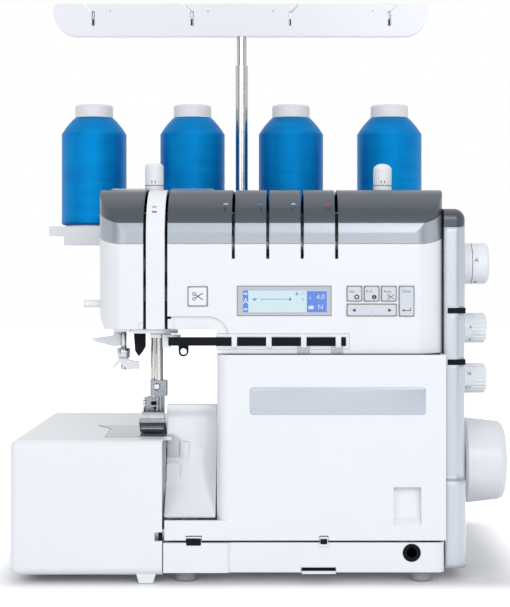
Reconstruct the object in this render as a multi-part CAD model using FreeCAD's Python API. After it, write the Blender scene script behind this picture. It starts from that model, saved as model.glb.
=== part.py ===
import FreeCAD, Part
import math
import os

# Overlock sewing machine, in millimetres. Bench datum: X = 0 near the middle of the head, Y = 0 at the
# front of the looper cover, Z = 0 on the floor. Every piece is moved from there to the part's origin,
# which is the middle of the overall box, on the floor.

# Clearances
seam = 0.2
panel_gap = 0.5
key_gap = 0.35
run_fit = 0.05
soft_fit = 0.3
seat_gap = 0.4

# Base and feet
foot_height = 9.5
foot_radius = 9.0
foot_inset = 17.0
base_left = -97.5
base_right = 128.0
base_front = 2.5
base_back = 212.0
base_height = 24.0
base_wall = 3.0
base_corner = 6.0
toe_right = -46.0
toe_slope = 5.0
slot_left = 13.0
slot_width = 28.0
slot_height = 4.0

# Knee lift socket
knee_x = 101.6
knee_radius = 7.2
knee_length = 30.0
knee_boss = 10.0
knee_drop = 8.3
knee_bore = 4.0

# Head shell
head_left = -152.0
head_right = 129.0
head_front = 8.0
head_back = 205.0
head_height = 114.0
brow_drop = 36.0
brow_run = 42.0
crown_radius = 10.0
head_corner = 25.0
back_corner = 12.0
shell_wall = 2.6
body_foot = 34.5
arm_underside = 204.0
pillar_left = -55.0
front_drop = 19.5
cover_split = 100.0
bed_line = 142.0
cheek_run = 5.0
cheek_rise = 13.6
scoop_right = -45.0
scoop_rise = 10.5
scoop_radius = 17.0
scoop_depth = 11.0
nub_proud = 14.0
nub_y = 40.0
nub_rise = 20.0
nub_radius = 3.0

# Parting lines of the silver band and the dark top
band_low_drop = 45.0
band_low_rise = 8.5
band_high_drop = 28.0
band_high_rise = 14.0
parting_start = 1.5
parting_run = 52.0

# Tension slots, discs and posts
slot_pitch = 27.75
slot_middle = 0.0
slot_count = 4
tension_slot = 2.5
tension_drop = 57.0
slot_depth = 8.0
rail_front = 43.0
rail_back = 47.0
rail_low_drop = 36.4
rail_high_drop = 30.0
rail_rib = 2.0
disc_radius = 9.0
disc_thick = 0.8
disc_gap = 0.5
post_radius = 2.5
disc_y = 27.0
disc_rise = 11.0
bracket_thick = 3.0
bracket_foot = 10.0

# Thread strip on the head
strip_left = -112.0
strip_width = 15.0
strip_slot = 2.3
strip_thick = 3.0
strip_back = 51.0
strip_rib = 3.0

# Display, keys and board
window_left = -38.3
window_width = 75.3
window_rise = 11.3
window_height = 23.5
window_thick = 2.4
window_proud = 0.6
key_rise = 34.8
key_size = 11.8
key_pitch = 13.85
key_left = 50.0
key_proud = 1.3
key_flange = 1.2
key_lip = 0.8
arrow_lip_width = 12.0
arrow_rib = 1.4
arrow_rib_gap = 0.2
arrow_width = 39.6
arrow_height = 9.4
arrow_rise = 11.0
enter_left = 92.0
enter_height = 24.0
cutter_left = -78.0
cutter_size = 15.4
cutter_rise = 19.0
board_y = 15.0
board_thick = 1.6
board_left = -92.0
board_right = 116.0
board_rise = 14.0
board_height = 29.0
board_boss = 3.0
board_inset = 6.0

# Front thread guide
guide_left = -94.0
guide_right = 49.0
guide_drop = 13.0
guide_height = 6.6
guide_y = 11.0
guide_thick = 4.0
guide_pocket = 20.0
pocket_margin = 3.0
guide_tab_x = -82.0
guide_tab_radius = 4.0
guide_tab_hole = 2.6
guide_tab_drop = 5.0
guide_post = 5.0

# Casting
frame_floor = 9.5
arm_left = -140.0
arm_front = 86.0
arm_back = 130.0
arm_rise = 22.0
arm_height = 36.0
wall_left = -92.0
wall_mid = 28.0
wall_right = 106.0
wall_thick = 10.0
wall_front = 55.0
wall_back = 190.0
plate_front = 50.0
plate_back = 195.0
free_arm_left = -168.0
free_arm_front = 25.0
free_arm_room = 21.0
free_arm_low = 50.0
bed_top = 113.4
bed_thick = 7.4
bed_right = -50.0
bed_step = 92.0
bed_lip = 46.0
free_wall = 5.0
looper_plate_y = 84.0
looper_plate_thick = 8.0
looper_plate_right = -46.0
bearing_left = -66.0
bearing_half = 14.0
lug_left = -121.0
lug_width = 26.0
lug_front = 44.0
lug_thick = 12.0
bed_window_left = -120.0
bed_window_right = -95.0
bed_window_front = 44.0
bed_window_back = 94.0

# Main shaft, bushes, wheel, motor and belt
shaft_y = 70.0
shaft_z = 91.0
shaft_radius = 6.0
shaft_left = -74.0
bush_wall = 3.0
cam_radius = 10.0
cam_offset = 2.0
cam_width = 8.0
cam_x = -30.0
cam_pitch = 20.0
cam_count = 2
pulley_x = 117.5
pulley_width = 7.0
pulley_radius = 22.0
shaft_hole = 10.0
wheel_gap = 1.6
wheel_width = 34.9
wheel_radius = 36.0
wheel_small = 33.0
wheel_edge = 5.0
wheel_dish = 24.0
wheel_dish_depth = 3.0
wheel_bore = 20.0
motor_y = 165.0
motor_z = 62.0
motor_radius = 28.0
motor_left = 46.0
motor_depth = 12.0
motor_edge = 3.0
motor_shaft_radius = 4.0
motor_shaft_hole = 7.0
motor_pulley_radius = 11.0
belt_thick = 2.0
belt_lift = 0.35

# Side column
side_gap = 0.5
side_width = 18.0
side_front = 22.0
side_back = 204.5
side_low = 10.5
side_drop = 16.0
side_corner = 9.0
side_wall = 2.6
cap_drop = 31.0
cap_rise = 8.0
bulge_top = 81.0
bulge_proud = 8.0
groove_rise = 13.4
groove_height = 4.6
groove_start = 3.0
groove_run = 20.0
groove_depth = 1.0

# Side dials
dial_y = 60.0
dial_gap = 0.6
dial_stem = 4.0
dial_reach = 9.0
wheel_dial_gap = 21.5
upper_dial_gap = 24.5
lower_dial_gap = 17.0
stitch_radius = 17.0
stitch_width = 21.5
small_dial_radius = 12.5
small_dial_width = 20.0
dial_edge = 2.0
rib_count = 24
rib_start = 9.0
rib_radius = 1.0

# Power inlet and switch
inlet_y = 182.0
inlet_z = 52.0
inlet_width = 27.0
inlet_height = 20.0
inlet_depth = 18.0
inlet_wall = 2.5
inlet_pin = 1.2
inlet_pin_length = 9.0
inlet_pin_pitch = 7.0
switch_z = 84.0
switch_width = 21.0
switch_height = 15.0
switch_depth = 9.0
switch_proud = 2.4
switch_gap = 0.9
switch_frame = 2.0
switch_axle = 1.2

# Looper cover and chute
cover_left = -44.0
cover_thick = 3.2
cover_low = 35.5
cover_bead = 1.6
cover_flank = 11.0
cover_return = 30.0
cover_end_depth = 18.0
toe_left = -96.5
toe_top = 51.5
finger_left = 87.0
finger_right = 109.0
finger_low = 44.0
finger_high = 78.0
finger_depth = 9.0
finger_wall = 2.4
hinge_stub = 0.75
hinge_nose = 1.3
hinge_reach = 1.2
hinge_play = 0.4
hinge_head = 0.9
hinge_left_x = -73.0
hinge_left_width = 12.0
hinge_right_x = 31.2
hinge_right_width = 6.4
chute_left = -96.6
chute_right = -56.2
chute_low = 52.6
chute_high = 141.0
chute_front = 6.0
chute_back = 40.0
chute_hollow = 0.8
chute_turn = 0.36
chute_thick = 2.4
chute_tab = 14.0

# Extension table
table_right = -98.4
table_length = 122.6
table_depth = 221.0
table_low = 7.0
table_high = 116.0
table_wall = 3.0
table_skin = 2.2
table_edge = 7.0
table_corner = 12.0
table_foot_left = -120.0
table_foot_right = -103.0
table_foot_depth = 18.0
table_foot_low = 0.5
table_notch = 6.0
table_notch_low = 35.0
table_notch_high = 42.0

# Needle plate, foot, needle and presser bars
plate_right = -92.0
plate_y0 = 18.0
plate_y1 = 104.0
plate_knee_y = 80.0
plate_knee_x = -148.0
plate_corner_x = -146.0
plate_tip_x = -162.0
plate_thick = 3.0
plate_gap = 0.6
bar_radius = 3.5
needle_x = -105.0
needle_y = 52.0
needle_bar_low = 150.0
needle_bar_drop = 36.0
clamp_left = -112.0
clamp_right = -98.0
clamp_depth = 9.0
clamp_low = 147.0
clamp_high = 160.0
needle_radius = 0.55
needle_tip = 124.0
needle_point = 4.0
needle_seat = 149.5
needle_pitch = 3.0
presser_x = -110.0
presser_y = 63.0
presser_low = 132.0
presser_drop = 30.0
shank_left = -116.5
shank_right = -101.5
shank_back = 71.0
shank_front = 58.0
shank_high = 145.0
shank_rim = 3.0
sole_left = -120.0
sole_right = -98.0
sole_front = 34.0
sole_back = 92.0
sole_gap = 0.8
sole_thick = 3.4
sole_toe_rise = 9.0
sole_toe_run = 9.0
sole_slot_front = 47.0
sole_slot_back = 56.0
sole_slot_half = 4.0

# Feed dogs, knives and loopers
feed_width = 4.0
feed_pitch = 6.0
feed_x = -116.0
feed_front = 60.0
feed_back = 86.0
feed_tooth = 0.8
feed_tooth_pitch = 1.6
feed_low = 100.0
feed_play = 3.0
feed_side = 0.7
feed_carrier = 6.0
feed_carrier_back = 120.0
feed_guide = 6.0
feed_channel_front = 96.0
feed_channel_back = 112.0
lower_knife_thick = 2.0
lower_knife_low = 96.0
lower_knife_y0 = 47.0
lower_knife_y1 = 62.0
knife_left = -96.6
knife_mid = -86.0
knife_right = -78.0
knife_y0 = 41.2
knife_y1 = 44.6
knife_high = 112.0
knife_step = 94.0
knife_low = 74.0
knife_lap = 2.4
knife_guide = 5.0
knife_guide_low = 88.0
knife_guide_step = 1.4
looper_pin = 3.0
looper_hub = 6.5
looper_bore_gap = 0.06
lower_looper_x = -80.0
lower_looper_z = 44.0
lower_looper_y = 59.0
upper_looper_x = -66.0
upper_looper_z = 52.0
upper_looper_y = 50.0
looper_thick = 5.0
looper_arm = 5.0
looper_end = 5.0
looper_hook = 5.0
lower_looper_tip_x = -92.0
lower_looper_tip_z = 84.0
upper_looper_tip_x = -80.0
upper_looper_tip_z = 96.0

# Threader lever
lever_x = -135.0
lever_y = 55.0
lever_stem = 3.0
lever_hub = 5.5
lever_hub_drop = 26.0
lever_tip_x = -161.0
lever_drop = 16.0
lever_height = 8.5
lever_width = 5.0
lower_lever_tip_x = -122.0
lower_lever_left_x = -147.0
lower_lever_drop = 36.0
lower_lever_height = 7.0
threader_post = 2.4

# Top knobs
knob_y = 63.0
knob_radius = 7.75
knob_height = 22.5
knob_gap = 0.5
knob_stem = 4.0
knob_reach = 14.0
knob_edge = 2.0
top_knob_x = 82.0
top_knob_dome = 5.0
dome_steps = 5

# Cone tray, pins, cones and mast
tray_left = -221.0
tray_right = 138.0
tray_back = 280.0
tray_drop = 44.0
tray_step_height = 9.0
tray_height = 17.5
tray_inset = 14.0
tray_corner = 14.0
mast_x = -41.5
mast_y = 240.0
cone_pitch = 94.4
cone_count = 4
pad_radius = 27.0
pad_thick = 1.5
holder_height = 22.0
pin_radius = 3.5
pin_height = 108.5
core_radius = 15.0
core_wall = 3.0
core_height = 116.5
core_cap_radius = 18.0
core_cap_rise = 104.5
cone_radius = 31.2
cone_shoulder_radius = 19.0
cone_straight_rise = 88.5
cone_rise = 104.0
cone_foot_edge = 3.0
shoulder_steps = 5
mast_tube_radius = 7.5
mast_tube_drop = 36.0
mast_tube_rise = 33.5
mast_tube_floor = 3.0
mast_rod_radius = 6.0
mast_rod_start = 6.5
mast_rod_rise = 154.5
mast_neck_radius = 4.75
bar_rise = 28.0
bar_height = 31.0
bar_left = -221.0
bar_right = 136.0
bar_thick = 12.0
bar_low_corner = 22.0
bar_high_corner = 4.0
eye_width = 2.6
eye_rise = 10.0
eye_drop = 7.0
eye_run = 9.0

# Cover screws
screw_head = 3.6
screw_head_height = 1.8
screw_shank = 1.5
foot_screw_proud = 0.8
screw_length = 9.0
screw_rows = (60.0, 150.0, 240.0)
screw_left = -40.0
screw_right = 112.0

# Places worked out from the sizes above
head_top = arm_underside + head_height
brow_low = head_top - brow_drop
front_bottom = arm_underside - front_drop
scoop_top = arm_underside + scoop_rise
nub_z = arm_underside + nub_rise
band_low = head_top - band_low_drop
band_high = head_top - band_high_drop
tension_low = head_top - tension_drop
rail_low = head_top - rail_low_drop
rail_high = head_top - rail_high_drop
disc_z = tension_low + disc_rise
window_low = arm_underside + window_rise
key_top = arm_underside + key_rise
arrow_low = arm_underside + arrow_rise
cutter_low = arm_underside + cutter_rise
board_low = arm_underside + board_rise
board_high = board_low + board_height
guide_low = arm_underside - guide_drop
arm_low = arm_underside + arm_rise
arm_high = arm_low + arm_height
free_arm_back = table_depth - free_arm_room
side_top = head_top - side_drop
cap_low = head_top - cap_drop
needle_bar_high = head_top - needle_bar_drop
presser_high = head_top - presser_drop
lever_hub_low = arm_underside - lever_hub_drop
lever_low = arm_underside - lever_drop
lever_high = lever_low + lever_height
lower_lever_low = arm_underside - lower_lever_drop
lower_lever_high = lower_lever_low + lower_lever_height
tray_low = head_top - tray_drop
tray_step = tray_low + tray_step_height
tray_top = tray_low + tray_height
pin_top = tray_top + pin_height
core_top = tray_top + core_height
core_cap_low = tray_top + core_cap_rise
cone_straight = tray_top + cone_straight_rise
cone_top = tray_top + cone_rise
mast_tube_low = tray_low - mast_tube_drop
mast_tube_high = tray_top + mast_tube_rise
mast_rod_low = tray_top + mast_rod_start
mast_rod_high = tray_top + mast_rod_rise
bar_low = mast_rod_high + bar_rise
bar_high = bar_low + bar_height
eye_low = bar_low + eye_rise
eye_high = bar_high - eye_drop
length_z = shaft_z + wheel_radius + small_dial_radius + wheel_dial_gap
differential_z = length_z + 2 * small_dial_radius + lower_dial_gap
stitch_z = differential_z + small_dial_radius + stitch_radius + upper_dial_gap
groove_lows = (differential_z + groove_rise, length_z + groove_rise)
base_low = foot_height
base_top = base_low + base_height
table_left = table_right - table_length
side_left = head_right + side_gap
side_face = side_left + side_width
wheel_left = side_face + wheel_gap
wheel_end = wheel_left + wheel_width
slots_x = [slot_middle + slot_pitch * (i - (slot_count - 1) / 2) for i in range(slot_count)]
cones_x = [mast_x + cone_pitch * (i - (cone_count - 1) / 2) for i in range(cone_count)]
strip_right = strip_left + strip_width
plate_high = bed_top + plate_thick
sole_low = plate_high + sole_gap
inner_front = head_front + shell_wall
rock_y = board_y - arrow_rib_gap - arrow_rib
cone_low = tray_top + pad_thick + soft_fit
cover_high = front_bottom - panel_gap
hinge_y = cover_bead
hinge_z = cover_low + cover_bead
x_middle = (table_left + wheel_end) / 2
y_middle = tray_back / 2
far = 500.0

V = FreeCAD.Vector


def box(x0, x1, y0, y1, z0, z1):
    return Part.makeBox(x1 - x0, y1 - y0, z1 - z0, V(x0, y0, z0))


def rod_x(x0, x1, y, z, radius):
    return Part.makeCylinder(radius, x1 - x0, V(x0, y, z), V(1, 0, 0))


def rod_y(y0, y1, x, z, radius):
    return Part.makeCylinder(radius, y1 - y0, V(x, y0, z), V(0, 1, 0))


def rod_z(z0, z1, x, y, radius):
    return Part.makeCylinder(radius, z1 - z0, V(x, y, z0), V(0, 0, 1))


def line(a, b):
    return Part.LineSegment(a, b).toShape()


def arc(a, middle, b):
    return Part.Arc(a, middle, b).toShape()


def solid_from(edges, push):
    return Part.Face(Part.Wire(edges)).extrude(push)


def prism_x(outline, x0, x1):
    points = [V(x0, y, z) for y, z in outline]
    return Part.Face(Part.makePolygon(points + points[:1])).extrude(V(x1 - x0, 0, 0))


def prism_y(outline, y0, y1):
    points = [V(x, y0, z) for x, z in outline]
    return Part.Face(Part.makePolygon(points + points[:1])).extrude(V(0, y1 - y0, 0))


def prism_z(outline, z0, z1):
    points = [V(x, y, z0) for x, y in outline]
    return Part.Face(Part.makePolygon(points + points[:1])).extrude(V(0, 0, z1 - z0))


def fuse(first, *others):
    return first.multiFuse(list(others)).removeSplitter()


def lathe(outline, axis_point, axis):
    # Turn an outline of (radius, height) pairs about Z, then stand it at a point along an axis
    points = [V(radius, 0, height) for radius, height in outline]
    face = Part.Face(Part.makePolygon(points + points[:1]))
    turned = face.revolve(V(0, 0, 0), V(0, 0, 1), 360)
    turned.Placement = FreeCAD.Placement(axis_point, FreeCAD.Rotation(V(0, 0, 1), axis))
    return turned


def edges_along(shape, axis, keep):
    # Straight edges parallel to an axis whose middle passes the test
    found = []
    for edge in shape.Edges:
        if edge.Curve.TypeId != "Part::GeomLine":
            continue
        run = edge.Vertexes[-1].Point.sub(edge.Vertexes[0].Point)
        if run.Length > 0 and abs(abs(run.normalize().dot(axis)) - 1) < 1e-6:
            if keep(edge.CenterOfMass):
                found.append(edge)
    return found


def corner_arc(x0, y0, x1, y1, turn_x, z):
    # Quarter round from one point to the next; turn_x says that the first point leaves along X
    across = math.cos(math.pi / 4)
    if turn_x:
        middle = V(x0 + (x1 - x0) * across, y1 + (y0 - y1) * across, z)
    else:
        middle = V(x1 + (x0 - x1) * across, y0 + (y1 - y0) * across, z)
    return arc(V(x0, y0, z), middle, V(x1, y1, z))


def rounded_block(x0, x1, y0, y1, z0, z1, front, back):
    # Upright block with one corner radius at the front and one at the back
    edges = [
        line(V(x0 + front, y0, z0), V(x1 - front, y0, z0)),
        corner_arc(x1 - front, y0, x1, y0 + front, True, z0),
        line(V(x1, y0 + front, z0), V(x1, y1 - back, z0)),
        corner_arc(x1, y1 - back, x1 - back, y1, False, z0),
        line(V(x1 - back, y1, z0), V(x0 + back, y1, z0)),
        corner_arc(x0 + back, y1, x0, y1 - back, True, z0),
        line(V(x0, y1 - back, z0), V(x0, y0 + front, z0)),
        corner_arc(x0, y0 + front, x0 + front, y0, False, z0),
    ]
    return solid_from(edges, V(0, 0, z1 - z0))


def quarter_middle(y0, z0, y1, z1):
    # Middle of a quarter round that leaves its first point upright
    across = math.cos(math.pi / 4)
    return y1 - (y1 - y0) * across, z0 + (z1 - z0) * across


def side_profile(inset, low, x0, x1):
    # Head seen from the side: upright front, rounded brow, flat top, rounded back
    front = head_front + inset
    top = head_top - inset
    back = head_back - inset
    brow_end = head_front + brow_run
    brow_y, brow_z = quarter_middle(front, brow_low, brow_end, top)
    crown_y, crown_z = quarter_middle(back, top - crown_radius, back - crown_radius, top)
    edges = [
        line(V(x0, front, low), V(x0, front, brow_low)),
        arc(V(x0, front, brow_low), V(x0, brow_y, brow_z), V(x0, brow_end, top)),
        line(V(x0, brow_end, top), V(x0, back - crown_radius, top)),
        arc(V(x0, back - crown_radius, top), V(x0, crown_y, crown_z), V(x0, back, top - crown_radius)),
        line(V(x0, back, top - crown_radius), V(x0, back, low)),
        line(V(x0, back, low), V(x0, front, low)),
    ]
    return solid_from(edges, V(x1 - x0, 0, 0))


def head_shape(inset):
    # Outer body of head and pillar, or its inside when inset by the wall
    low = body_foot - inset
    left = head_left + inset
    right = head_right - inset
    side = side_profile(inset, low, left, right)
    plan = rounded_block(left, right, head_front + inset, head_back - inset, low, head_top,
                         head_corner - inset, back_corner - inset)
    under = arm_underside + inset
    throat = box(left - seam, pillar_left + inset, 0, head_back, low - seam, under)
    cheek = prism_y([(left, under), (left + cheek_run, under), (left, under + cheek_rise)], 0, head_back)
    return side.common(plan).cut(throat).cut(cheek)


def above(z0, rise, front):
    # All space above a parting line that rises just behind the front and then runs level
    y0 = front + parting_start
    y1 = front + parting_run
    z1 = z0 + rise
    middle = V(-far, (y0 + y1) / 2, z0 + rise * 3 / 4)
    edges = [
        line(V(-far, -far, z0), V(-far, y0, z0)),
        arc(V(-far, y0, z0), middle, V(-far, y1, z1)),
        line(V(-far, y1, z1), V(-far, far, z1)),
        line(V(-far, far, z1), V(-far, far, far)),
        line(V(-far, far, far), V(-far, -far, far)),
        line(V(-far, -far, far), V(-far, -far, z0)),
    ]
    return solid_from(edges, V(2 * far, 0, 0))


def hinge_lug(middle, width):
    # Lug on the base that carries the looper cover: a nose on the hinge line with a pin stub each side
    x0 = middle - width / 2
    x1 = middle + width / 2
    foot = box(x0, x1, hinge_y - hinge_nose, base_front + base_wall, base_top - base_wall, hinge_z)
    nose = rod_x(x0, x1, hinge_y, hinge_z, hinge_nose)
    pin = rod_x(x0 - hinge_reach, x1 + hinge_reach, hinge_y, hinge_z, hinge_stub)
    return fuse(foot, nose, pin)


def base_pieces():
    tray = rounded_block(base_left, base_right, base_front, base_back, base_low, base_top,
                         base_corner, base_corner)
    toe = prism_z([(base_left, 0), (toe_right, 0), (toe_right + toe_slope, base_front + base_wall),
                   (base_left, base_front + base_wall)], base_low, base_top)
    tray = fuse(tray, toe)
    hollow = box(base_left + base_wall, base_right - base_wall, base_front + base_wall,
                 base_back - base_wall, base_low + base_wall, base_top)
    tray = tray.cut(hollow)
    knee_z = base_top - knee_drop
    boss = rod_y(base_front + seam, base_front + knee_length - base_wall, knee_x, knee_z, knee_boss)
    boss = boss.common(box(-far, far, 0, far, base_low, base_top))
    lugs = [hinge_lug(hinge_left_x, hinge_left_width), hinge_lug(hinge_right_x, hinge_right_width)]
    tray = fuse(tray, boss, *lugs)
    tray = tray.cut(rod_y(-far, far, knee_x, knee_z, knee_radius + run_fit).common(
        box(-far, far, -far, base_front + knee_length, 0, far)))
    tray = tray.cut(box(slot_left, slot_left + slot_width, -far, base_front + 2 * base_wall,
                        base_low - seam, base_low + slot_height))
    feet = []
    for x in (base_left + foot_inset, base_right - foot_inset):
        for y in (base_front + foot_inset, base_back - foot_inset):
            foot = rod_z(0, foot_height, x, y, foot_radius)
            rim = [edge for edge in foot.Edges if edge.CenterOfMass.z < seam]
            feet.append(foot.makeChamfer(base_wall / 2, rim))
    # Socket that takes the plug-in knee lever: a turned black sleeve with a key way
    socket = rod_y(base_front - seam, base_front + knee_length, knee_x, knee_z, knee_radius)
    socket = socket.cut(rod_y(0, base_front + knee_length - base_wall, knee_x, knee_z, knee_bore))
    socket = socket.cut(box(knee_x - knee_bore / 4, knee_x + knee_bore / 4, 0, base_front + knee_bore * 2,
                            knee_z, knee_z + knee_bore * 5 / 4))
    return {"base_tray": tray, "rubber_feet": Part.makeCompound(feet), "knee_socket": socket}


def key_places():
    # Left, right, low and high edge of each key in the head
    low = key_top - key_size
    places = {"cutter_key": (cutter_left, cutter_left + cutter_size, cutter_low, cutter_low + cutter_size)}
    for i, name in enumerate(("set_key", "info_key", "auto_key")):
        left = key_left + key_pitch * i
        places[name] = (left, left + key_size, low, key_top)
    places["arrow_key"] = (key_left, key_left + arrow_width, arrow_low, arrow_low + arrow_height)
    places["enter_key"] = (enter_left, enter_left + key_size, key_top - enter_height, key_top)
    return places


def key_piece(place, lip_width):
    # Key cap with a lip behind the cover that keeps it from falling out
    x0, x1, z0, z1 = place
    cap = box(x0, x1, head_front - key_proud, inner_front + key_gap, z0, z1)
    cap = cap.makeFillet(key_lip, edges_along(cap, V(0, 1, 0), lambda p: True))
    rim = [edge for edge in cap.Edges if abs(edge.CenterOfMass.y - (head_front - key_proud)) < seam]
    cap = cap.makeChamfer(key_gap, rim)
    middle = (x0 + x1) / 2
    lip = box(middle - lip_width / 2, middle + lip_width / 2, inner_front + key_gap,
              inner_front + key_gap + key_flange, z0 - key_lip, z1 + key_lip)
    return fuse(cap, lip)


def window_box(grow, y0, y1):
    return box(window_left - grow, window_left + window_width + grow, y0, y1,
               window_low - grow, window_low + window_height + grow)


def board_corners():
    return [(x, z) for x in (board_left + board_inset, board_right - board_inset)
            for z in (board_low + board_inset, board_high - board_inset)]


def slot_cutters():
    half = tension_slot / 2
    rear_low = head_top - slot_depth
    cutters = [box(x - half, x + half, 0, arm_front, tension_low, far) for x in slots_x]
    cutters += [box(x - half, x + half, 0, far, rear_low, far) for x in slots_x]
    cutters.append(box(strip_left - strip_slot, strip_right + strip_slot, 0, strip_back + strip_slot,
                       0, far))
    return cutters


def scoop(inset):
    # Arched recess under the head where the thread guide is reached, rounded at its right end
    left = strip_right + strip_slot + inset
    right = scoop_right + inset
    top = scoop_top + inset
    round_x = right - scoop_radius
    round_z = top - scoop_radius
    across = math.cos(math.pi / 4) * scoop_radius
    low = guide_low - pocket_margin - inset
    edges = [
        line(V(left, 0, low), V(left, 0, top)),
        line(V(left, 0, top), V(round_x, 0, top)),
        arc(V(round_x, 0, top), V(round_x + across, 0, round_z + across), V(right, 0, round_z)),
        line(V(right, 0, round_z), V(right, 0, low)),
        line(V(right, 0, low), V(left, 0, low)),
    ]
    return solid_from(edges, V(0, scoop_depth + inset, 0))


def head_pieces():
    shell = head_shape(0).cut(head_shape(shell_wall))
    throat_side = box(-far, pillar_left + shell_wall + back_corner, 0, head_back - shell_wall, 0, bed_line)
    top = shell.common(above(band_high + seam / 2, band_high_rise, head_front))
    band = shell.common(above(band_low + seam / 2, band_low_rise, head_front))
    band = band.cut(above(band_high - seam / 2, band_high_rise, head_front))
    white = shell.cut(above(band_low - seam / 2, band_low_rise, head_front))
    front = white.common(box(-far, far, 0, cover_split - seam / 2, front_bottom, far))
    rear = fuse(white.common(box(-far, far, cover_split + seam / 2, far, 0, far)),
                white.common(box(-far, far, cover_return + panel_gap, cover_split + seam, 0, cover_high)))
    skirt = box(base_left, pillar_left + shell_wall, head_back - shell_wall, head_back,
                body_foot, bed_top - seam)
    rear = fuse(rear.cut(throat_side), skirt)
    # Openings in the back half: shaft at the right, screws in the back wall
    rear = rear.cut(rod_x(wall_right, far, shaft_y, shaft_z, shaft_hole))
    for x, z in screw_places():
        rear = rear.cut(rod_y(head_back - 2 * shell_wall, far, x, z, screw_shank + run_fit))
    # Pocket for the thread guide and the scoop beside it
    pocket_low = guide_low - pocket_margin
    pocket_high = guide_low + guide_height + pocket_margin
    block = box(pillar_left, guide_right + pocket_margin + shell_wall, head_front,
                guide_pocket + shell_wall, front_bottom, pocket_high + shell_wall)
    arch = scoop(shell_wall).common(box(-far, far, head_front, far, arm_underside, far))
    arch = fuse(arch, scoop(shell_wall).common(box(pillar_left, far, head_front, far, front_bottom, far)))
    front = fuse(front, block, arch)
    front = front.cut(box(pillar_left - far, guide_right + pocket_margin, 0, guide_pocket,
                          pocket_low, pocket_high))
    front = front.cut(scoop(0))
    bosses = [rod_y(head_front + shell_wall / 2, board_y, x, z, board_boss) for x, z in board_corners()]
    front = fuse(front, *bosses)
    front = front.cut(window_box(key_gap, 0, inner_front + seam))
    for x0, x1, z0, z1 in key_places().values():
        front = front.cut(box(x0 - key_gap, x1 + key_gap, 0, inner_front + seam, z0 - key_gap, z1 + key_gap))
    # Way through the floor of the head for the bars, and the bearing of the threader lever
    front = front.cut(box(lug_left + shell_wall, lug_left + lug_width, 0, arm_front, arm_underside - seam,
                          arm_underside + 2 * shell_wall))
    front = front.cut(rod_z(0, arm_low, lever_x, lever_y, lever_stem + run_fit))
    # Thread cutter nub moulded on the left end
    nub = rod_x(head_left - nub_proud, head_left + shell_wall, nub_y, nub_z, nub_radius)
    front = fuse(front, nub)
    for cutter in slot_cutters():
        top = top.cut(cutter)
        band = band.cut(cutter)
        front = front.cut(cutter)
    rear = rear.cut(slot_cutters()[slot_count])
    band = fuse(band, *band_rail())
    for x in (presser_x, top_knob_x):
        top = top.cut(rod_z(0, far, x, knob_y, knob_stem + run_fit))
    return {"front_cover": front, "rear_cover": rear, "silver_band": band, "top_cover": top,
            "thread_strip": strip_piece()}


def band_rail():
    # Rail behind the slots that ties the front lengths of the silver band together
    left = strip_right + strip_slot + rail_rib
    middles = [(a + b) / 2 for a, b in zip(slots_x[:-1], slots_x[1:])]
    middles += [(left + slots_x[0]) / 2, (slots_x[-1] + head_right) / 2]
    rail = [box(left, head_right - shell_wall / 2, rail_front, rail_back, rail_low, rail_high)]
    for x in middles:
        rail.append(box(x - rail_rib / 2, x + rail_rib / 2, inner_front - shell_wall / 2, rail_back,
                        rail_low, rail_high))
    return rail


def strip_piece():
    # White strip between the two thread slots, carried by ribs on the lugs of the casting
    strip = side_profile(0, arm_underside, strip_left, strip_right)
    strip = strip.cut(side_profile(strip_thick, 0, -far, far))
    strip = strip.common(box(-far, far, 0, strip_back, arm_underside, far))
    middle = (strip_left + strip_right) / 2
    ribs = [box(middle - strip_rib / 2, middle + strip_rib / 2, head_front + strip_thick - seam, lug_front,
                low, low + lug_thick) for low in (arm_low, arm_high - lug_thick)]
    return fuse(strip, *ribs)


def screw_places():
    return [(x, z) for x in (screw_left, screw_right) for z in screw_rows]


def screw_pieces():
    screws = []
    for x, z in screw_places():
        head = rod_y(head_back, head_back + screw_head_height, x, z, screw_head)
        slot = box(x - screw_head, x + screw_head, head_back + screw_head_height / 2, far,
                   z - screw_shank / 4, z + screw_shank / 4)
        shank = rod_y(head_back - screw_length, head_back, x, z, screw_shank)
        screws.append(fuse(head.cut(slot), shank))
    return {"cover_screws": Part.makeCompound(screws)}


def panel_pieces():
    glass = window_box(0, head_front - window_proud, head_front - window_proud + window_thick)
    glass = glass.makeFillet(key_lip, edges_along(glass, V(0, 1, 0), lambda p: True))
    board = box(board_left, board_right, board_y, board_y + board_thick, board_low, board_high)
    pieces = {"display_window": glass, "circuit_board": board}
    for name, place in key_places().items():
        lip_width = place[1] - place[0] + 2 * key_lip
        if name == "arrow_key":
            lip_width = arrow_lip_width
        pieces[name] = key_piece(place, lip_width)
    x0, x1, z0, z1 = key_places()["arrow_key"]
    pieces["arrow_key"] = fuse(pieces["arrow_key"], rod_z(z0, z1, (x0 + x1) / 2, rock_y, arrow_rib))
    return pieces


def column_shape(inset):
    # Right-hand column with its outer corner, top and ends rounded
    column = box(side_left - inset, side_face - inset, side_front + inset, side_back - inset,
                 side_low + inset, side_top - inset)
    edge_x = side_face - inset - seam
    halfway = (side_low + side_top) / 2
    outer = edges_along(column, V(0, 0, 1), lambda p: p.x > edge_x)
    outer += edges_along(column, V(0, 1, 0), lambda p: p.x > edge_x and p.z > halfway)
    outer += edges_along(column, V(1, 0, 0), lambda p: p.z > halfway)
    return column.makeFillet(side_corner - inset, outer)


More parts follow.
